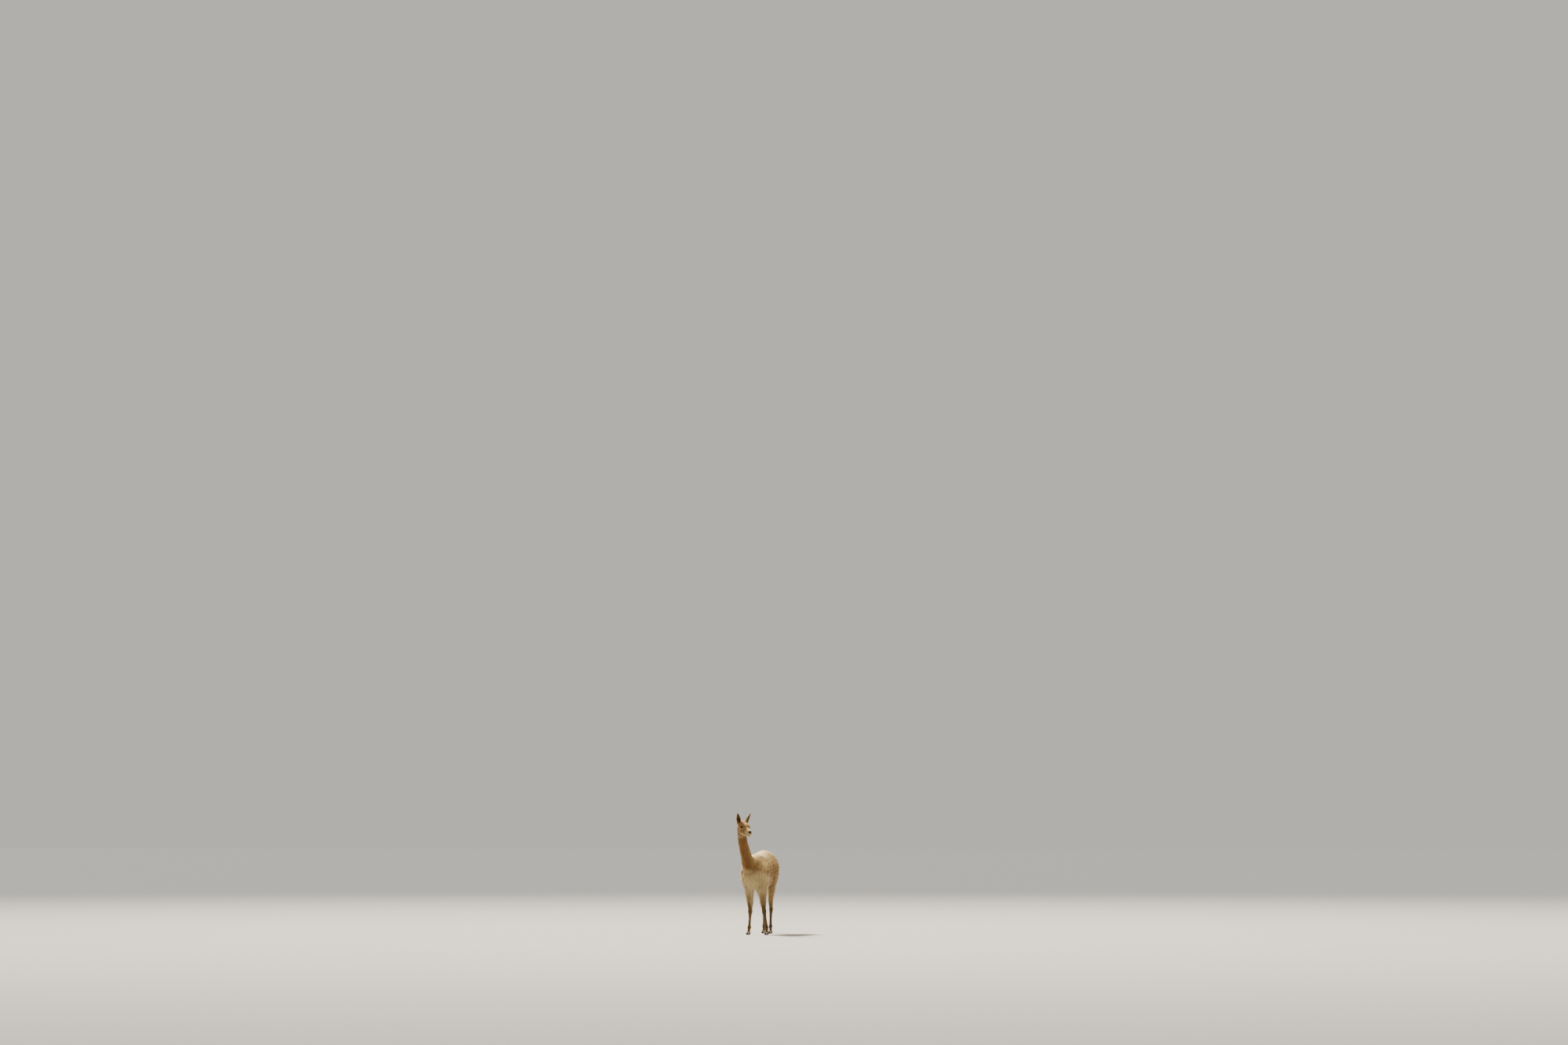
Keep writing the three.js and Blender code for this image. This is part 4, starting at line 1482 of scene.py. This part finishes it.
class VICUNA_OT_ear_coat(bpy.types.Operator):
    """Grow the hair on the backs and along the edges of the ears"""

    bl_idname = "vicuna.ear_coat"
    bl_label = "Ear coat"

    def execute(self, context):
        for side, s in SIDES:
            def wanted(p, n, s=s):
                inside = (n @ HEAD_BASIS) @ ear_axes(s)[1]
                return 1 - 0.7 * smoothstep(inside, 0.0, 0.4)
            place = Surface(f"ear_{side}", context.scene.vicuna_coat.ear_count, 400 + s, wanted)
            q = to_ear(s, place.points)
            sizes = sizes_of(place.draw, len(q), 7.5, 1.9, 2.0)
            edge = ear_edge(q, 3, 0.82, 1.05)
            sizes *= np.column_stack((1 + 0.7 * edge, 1 - 0.2 * edge, 1 + 0.5 * edge))
            sizes *= 1 - 0.5 * smoothstep(q[:, 2], 96, 116)[:, None]
            inside = (place.normals @ HEAD_BASIS) @ ear_axes(s)[1] > 0
            across = (q[:, 0] / 64 + 0.5) * 0.48 + 0.5 * inside
            where = np.column_stack((across, np.clip(q[:, 2] / EAR_LENGTH, 0, 1)))
            short_coat(f"ear_coat_{side}", place, sizes, where)
        return {"FINISHED"}


class VICUNA_OT_leg_coat(bpy.types.Operator):
    """Grow the close hair of the four legs, longer on the thighs and behind the knees"""

    bl_idname = "vicuna.leg_coat"
    bl_label = "Leg coat"

    def execute(self, context):
        for i, name in enumerate(LEGS):
            def wanted(p, n):
                return (p[:, 2] > 9) * (1 + 0.5 * smoothstep(p[:, 2], 300, 420))
            place = Surface(name, context.scene.vicuna_coat.leg_count, 500 + i, wanted)
            p = place.points
            high = smoothstep(p[:, 2], 330, 560)
            rear = smoothstep(place.normals[:, 1], 0.3, 0.8) * smoothstep(p[:, 2], 60, 200)
            sizes = sizes_of(place.draw, len(p), 1, 1, 1) * np.column_stack((
                12 + 14 * high + 4 * rear, 2.5 + 2.6 * high, 4.6 + 7 * high + 2 * rear))
            sizes[:, 2] *= 1 - 0.55 * smoothstep(-LEG_SIDES[name] * place.normals[:, 0], 0.1, 0.7)
            sizes[:, 2] *= 1 + 0.3 * (1 - smoothstep(shares(p)[name], 0.5, 0.9))
            foot = 1 - smoothstep(p[:, 2], 20, 70)
            sizes *= ((1 - 0.35 * foot) * (0.35 + 0.65 * smoothstep(p[:, 2], 9, 28)))[:, None]
            low, top = LEGS[name][6], LEGS[name][0]
            where = chart(p, (low[0], low[1], 0), top)
            short_coat(f"{name}_coat", place, sizes, where)
        return {"FINISHED"}


class VICUNA_OT_tail_hair(bpy.types.Operator):
    """Grow the long hair of the tail"""

    bl_idname = "vicuna.tail_hair"
    bl_label = "Tail hair"

    def execute(self, context):
        place = Surface("tail", context.scene.vicuna_coat.tail_count, 600)
        p, n, draw = place.points, place.normals, place.draw
        lean = strayed(lie_of(p, n), n, draw, 0.12)
        sizes = sizes_of(draw, len(p), 74, 9, 17)
        sizes[:, 0] *= np.clip((p[:, 2] - 590) / 200, 0.25, 1)
        where = chart(p, (0, 440, 580), (0, 400, 840))
        roots = Roots(p, n, lean, sizes, where, draw, "long")
        grow("tail_hair", roots, "fleece_wool")
        return {"FINISHED"}


class VICUNA_OT_bib(bpy.types.Operator):
    """Hang the long pale locks under the chest"""

    bl_idname = "vicuna.bib"
    bl_label = "Bib"

    def execute(self, context):
        def wanted(p, n):
            chest = (p[:, 1] < -215) & (p[:, 1] > -385) & (np.abs(p[:, 0]) < 66) & (p[:, 2] < 640)
            return chest & (n[:, 2] < 0.1)
        place = Surface("torso", context.scene.vicuna_coat.bib_count, 700, wanted)
        p, n, draw = place.points, place.normals, place.draw
        x, y = 0.7 * n[:, 0] + p[:, 0] * 0.004, 0.5 * n[:, 1] - 0.7
        out = unit(np.column_stack((x, y, np.full(len(p), 0.1))))
        lean = strayed(np.array((0, 0.3, -1.0)), out, draw, 0.12)
        sizes = sizes_of(draw, len(p), 50, 6.0, 9)
        sizes *= 1 - 0.6 * smoothstep(np.abs(p[:, 0]), 32, 66)[:, None]
        where = chart(p, (0, -400, 600), (0, -200, 600), (0, 0, 1))
        roots = Roots(p + lean * 6, out, lean, sizes, where, draw, "long")
        grow("bib_locks", roots, "bib_hair")
        return {"FINISHED"}


def ball_mesh(name, around, high, radius=1.0, turn=Matrix()):
    """A ball round the origin, and its vertices."""
    ball = bmesh.new()
    bmesh.ops.create_uvsphere(ball, u_segments=around, v_segments=high, radius=radius)
    bmesh.ops.transform(ball, matrix=turn, verts=ball.verts)
    mesh = bpy.data.meshes.new(name)
    ball.to_mesh(mesh)
    ball.free()
    return mesh, np.array([v.co for v in mesh.vertices])


def set_in_place(mesh, points, finish, node):
    """Makes a hard piece of a mesh at its points, in place of its solid."""
    set_points(mesh, points)
    mesh.shade_smooth()
    mesh.materials.append(finish_of(finish))
    piece = add_piece(mesh.name, mesh)
    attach(piece, "root")
    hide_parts(node)


class VICUNA_OT_eyes(bpy.types.Operator):
    """Set the two eyes and their lashes"""

    bl_idname = "vicuna.eyes"
    bl_label = "Eyes and lashes"

    def execute(self, context):
        for side, s in SIDES:
            turn = Vector(eye_axes(s)[2].tolist()).to_track_quat("Z", "Y").to_matrix().to_4x4()
            mesh, points = ball_mesh(f"eye_ball_{side}", 48, 32, EYE_RADIUS, turn)
            q = points + eye_place(s)
            store(mesh, "pupil", pupil_at(s, q), "FLOAT")
            set_in_place(mesh, from_head(q), "wet_eye", f"eye_{side}")
            grow(f"lashes_{side}", lash_roots(s), "dark_lash")
        return {"FINISHED"}


def pupil_at(s, q):
    """1 inside the long, level pupil, falling to 0 over the iris."""
    forward, up, outward = eye_axes(s)
    d = q - eye_place(s)
    oval = np.hypot((d @ forward) / 6.5, (d @ up) / 3.4)
    return (1 - smoothstep(oval, 0.8, 1.2)) * (d @ outward > 0)


def lash_roots(s):
    """Roots along the edge of the upper lid, in one row scattered a little in height."""
    forward, up, outward = eye_axes(s)
    draw = np.random.default_rng(60 + s)
    count = 110
    t = np.linspace(-0.95, 0.95, count) + draw.normal(0, 0.01, count)
    u, w = turned(14.5 * t, 9.2 * (1 - t * t) + 0.6 + draw.uniform(0, 1.2, count), LID_LEAN)
    depth = np.sqrt(np.maximum((EYE_RADIUS + 1.6) ** 2 - u * u - w * w, 1))
    q = eye_place(s) + u[:, None] * forward + w[:, None] * up + depth[:, None] * outward
    reach = outward + 0.5 * t[:, None] * forward - 0.9 * up
    lie = unit(reach @ HEAD_BASIS.T)
    out = unit(np.cross(np.cross(lie, up @ HEAD_BASIS.T), lie))
    sizes = sizes_of(draw, count, 7.5, 0.45, 1.4)
    where = np.column_stack((t * 0.45 + 0.5, np.full(count, 0.5)))
    return Roots(from_head(q), out, lie, sizes, where, draw, "hair")


class VICUNA_OT_nails(bpy.types.Operator):
    """Set the two nails of each foot"""

    bl_idname = "vicuna.nails"
    bl_label = "Nails"

    def execute(self, context):
        for name in LEGS:
            foot = np.array(LEGS[name][6], float)
            for side, s in SIDES:
                mesh, points = ball_mesh(f"nail_horn_{name}_{side}", 28, 18)
                tip = smoothstep(-points[:, 1], 0.0, 1.0)
                points[:, 0] *= 8.5 * (1 - 0.3 * tip)
                points[:, 2] *= 9.5 * (1 - 0.25 * tip)
                points[:, 2] += 1.2 * (1 - points[:, 0] ** 2 / 72) * (points[:, 2] > 0)
                points[:, 1] *= 18
                splay, droop = s * 0.06, 0.5
                turn = np.array(Matrix.Rotation(splay, 3, "Z") @ Matrix.Rotation(droop, 3, "X"))
                points = points @ turn.T + (foot[0] + s * (FOOT_WIDTH / 4 + 0.5), foot[1] - 49, 14)
                points[:, 2] = np.maximum(points[:, 2], 2)
                store(mesh, "reach", tip, "FLOAT")
                set_in_place(mesh, points, "nail_horn", f"nail_{name}_{side}")
        return {"FINISHED"}


# The room's light, and each lamp's strength, colour, spread and turn in degrees
ROOM_LIGHT = 0.66
LAMPS = (
    ("key", 13.0, (1.0, 0.96, 0.88), 12, (40, 0, -124)),
    ("fill", 0.7, (1.0, 0.88, 0.7), 60, (55, 0, 25)),
    ("side", 0.4, (1.0, 0.95, 0.88), 60, (60, 0, 100)),
)


class VICUNA_OT_stage(bpy.types.Operator):
    """Set the camera, the pale floor and the soft light"""

    bl_idname = "vicuna.stage"
    bl_label = "Camera, floor and light"

    def execute(self, context):
        studio = context.scene.vicuna_studio
        world = bpy.data.worlds.new("room")
        world.use_nodes = True
        nodes = Nodes(world.node_tree)
        light = nodes.add("ShaderNodeBackground", None, {
            "Color": (*studio.sky, 1), "Strength": ROOM_LIGHT})
        nodes.add("ShaderNodeOutputWorld", None, {"Surface": light.outputs[0]})
        context.scene.world = world
        for name, power, colour, spread, turn in LAMPS:
            lamp = bpy.data.lights.new(name, "SUN")
            lamp.energy = power
            lamp.color = colour
            lamp.angle = math.radians(spread)
            piece = bpy.data.objects.new(name, lamp)
            piece.rotation_euler = [math.radians(a) for a in turn]
            context.scene.collection.objects.link(piece)
        floor = bpy.data.meshes.new("floor")
        wide = 300
        corners = [(-wide, -wide, 0), (wide, -wide, 0), (wide, wide, 0), (-wide, wide, 0)]
        floor.from_pydata(corners, [], [(0, 1, 2, 3)])
        floor.materials.append(finish_of("studio_floor"))
        add_piece("floor", floor)
        view = bpy.data.cameras.new("camera")
        view.lens = studio.lens
        view.sensor_width = 36
        view.clip_end = 2000
        camera = bpy.data.objects.new("camera", view)
        a, away = studio.azimuth, studio.distance
        start = OFFSET * MM
        x, y = start[0] + away * math.sin(a), start[1] - away * math.cos(a)
        camera.location = (x, y, studio.height)
        camera.rotation_euler = (math.pi / 2 + studio.pitch, 0, a - studio.yaw)
        context.scene.collection.objects.link(camera)
        context.scene.camera = camera
        return {"FINISHED"}


class VICUNA_PT_pieces(bpy.types.Panel):
    """Lists the pieces of the animal and their settings"""

    bl_label = "Vicuna"
    bl_idname = "VICUNA_PT_pieces"
    bl_space_type = "VIEW_3D"
    bl_region_type = "UI"
    bl_category = "Vicuna"

    def draw(self, context):
        for group in SETTINGS:
            box = self.layout.box()
            settings = getattr(context.scene, group)
            for name in settings.__annotations__:
                box.prop(settings, name)
        for operator in OPERATORS:
            self.layout.operator(operator.bl_idname)


SETTINGS = {
    "vicuna_sizes": VicunaSizes,
    "vicuna_coat": VicunaCoat,
    "vicuna_colours": VicunaColours,
    "vicuna_studio": VicunaStudio,
}
OPERATORS = (
    VICUNA_OT_skin, VICUNA_OT_fleece, VICUNA_OT_neck_coat, VICUNA_OT_head_coat, VICUNA_OT_ear_coat,
    VICUNA_OT_leg_coat, VICUNA_OT_tail_hair, VICUNA_OT_bib, VICUNA_OT_eyes, VICUNA_OT_nails,
    VICUNA_OT_stage,
)


def register():
    for kind in (*SETTINGS.values(), *OPERATORS, VICUNA_PT_pieces):
        bpy.utils.register_class(kind)
    for name, kind in SETTINGS.items():
        setattr(bpy.types.Scene, name, bpy.props.PointerProperty(type=kind))


def unregister():
    for name in SETTINGS:
        delattr(bpy.types.Scene, name)
    for kind in reversed((*SETTINGS.values(), *OPERATORS, VICUNA_PT_pieces)):
        bpy.utils.unregister_class(kind)


def main():
    register()
    for operator in OPERATORS:
        getattr(bpy.ops.vicuna, operator.bl_idname.split(".")[1])()


if __name__ == "__main__":
    main()
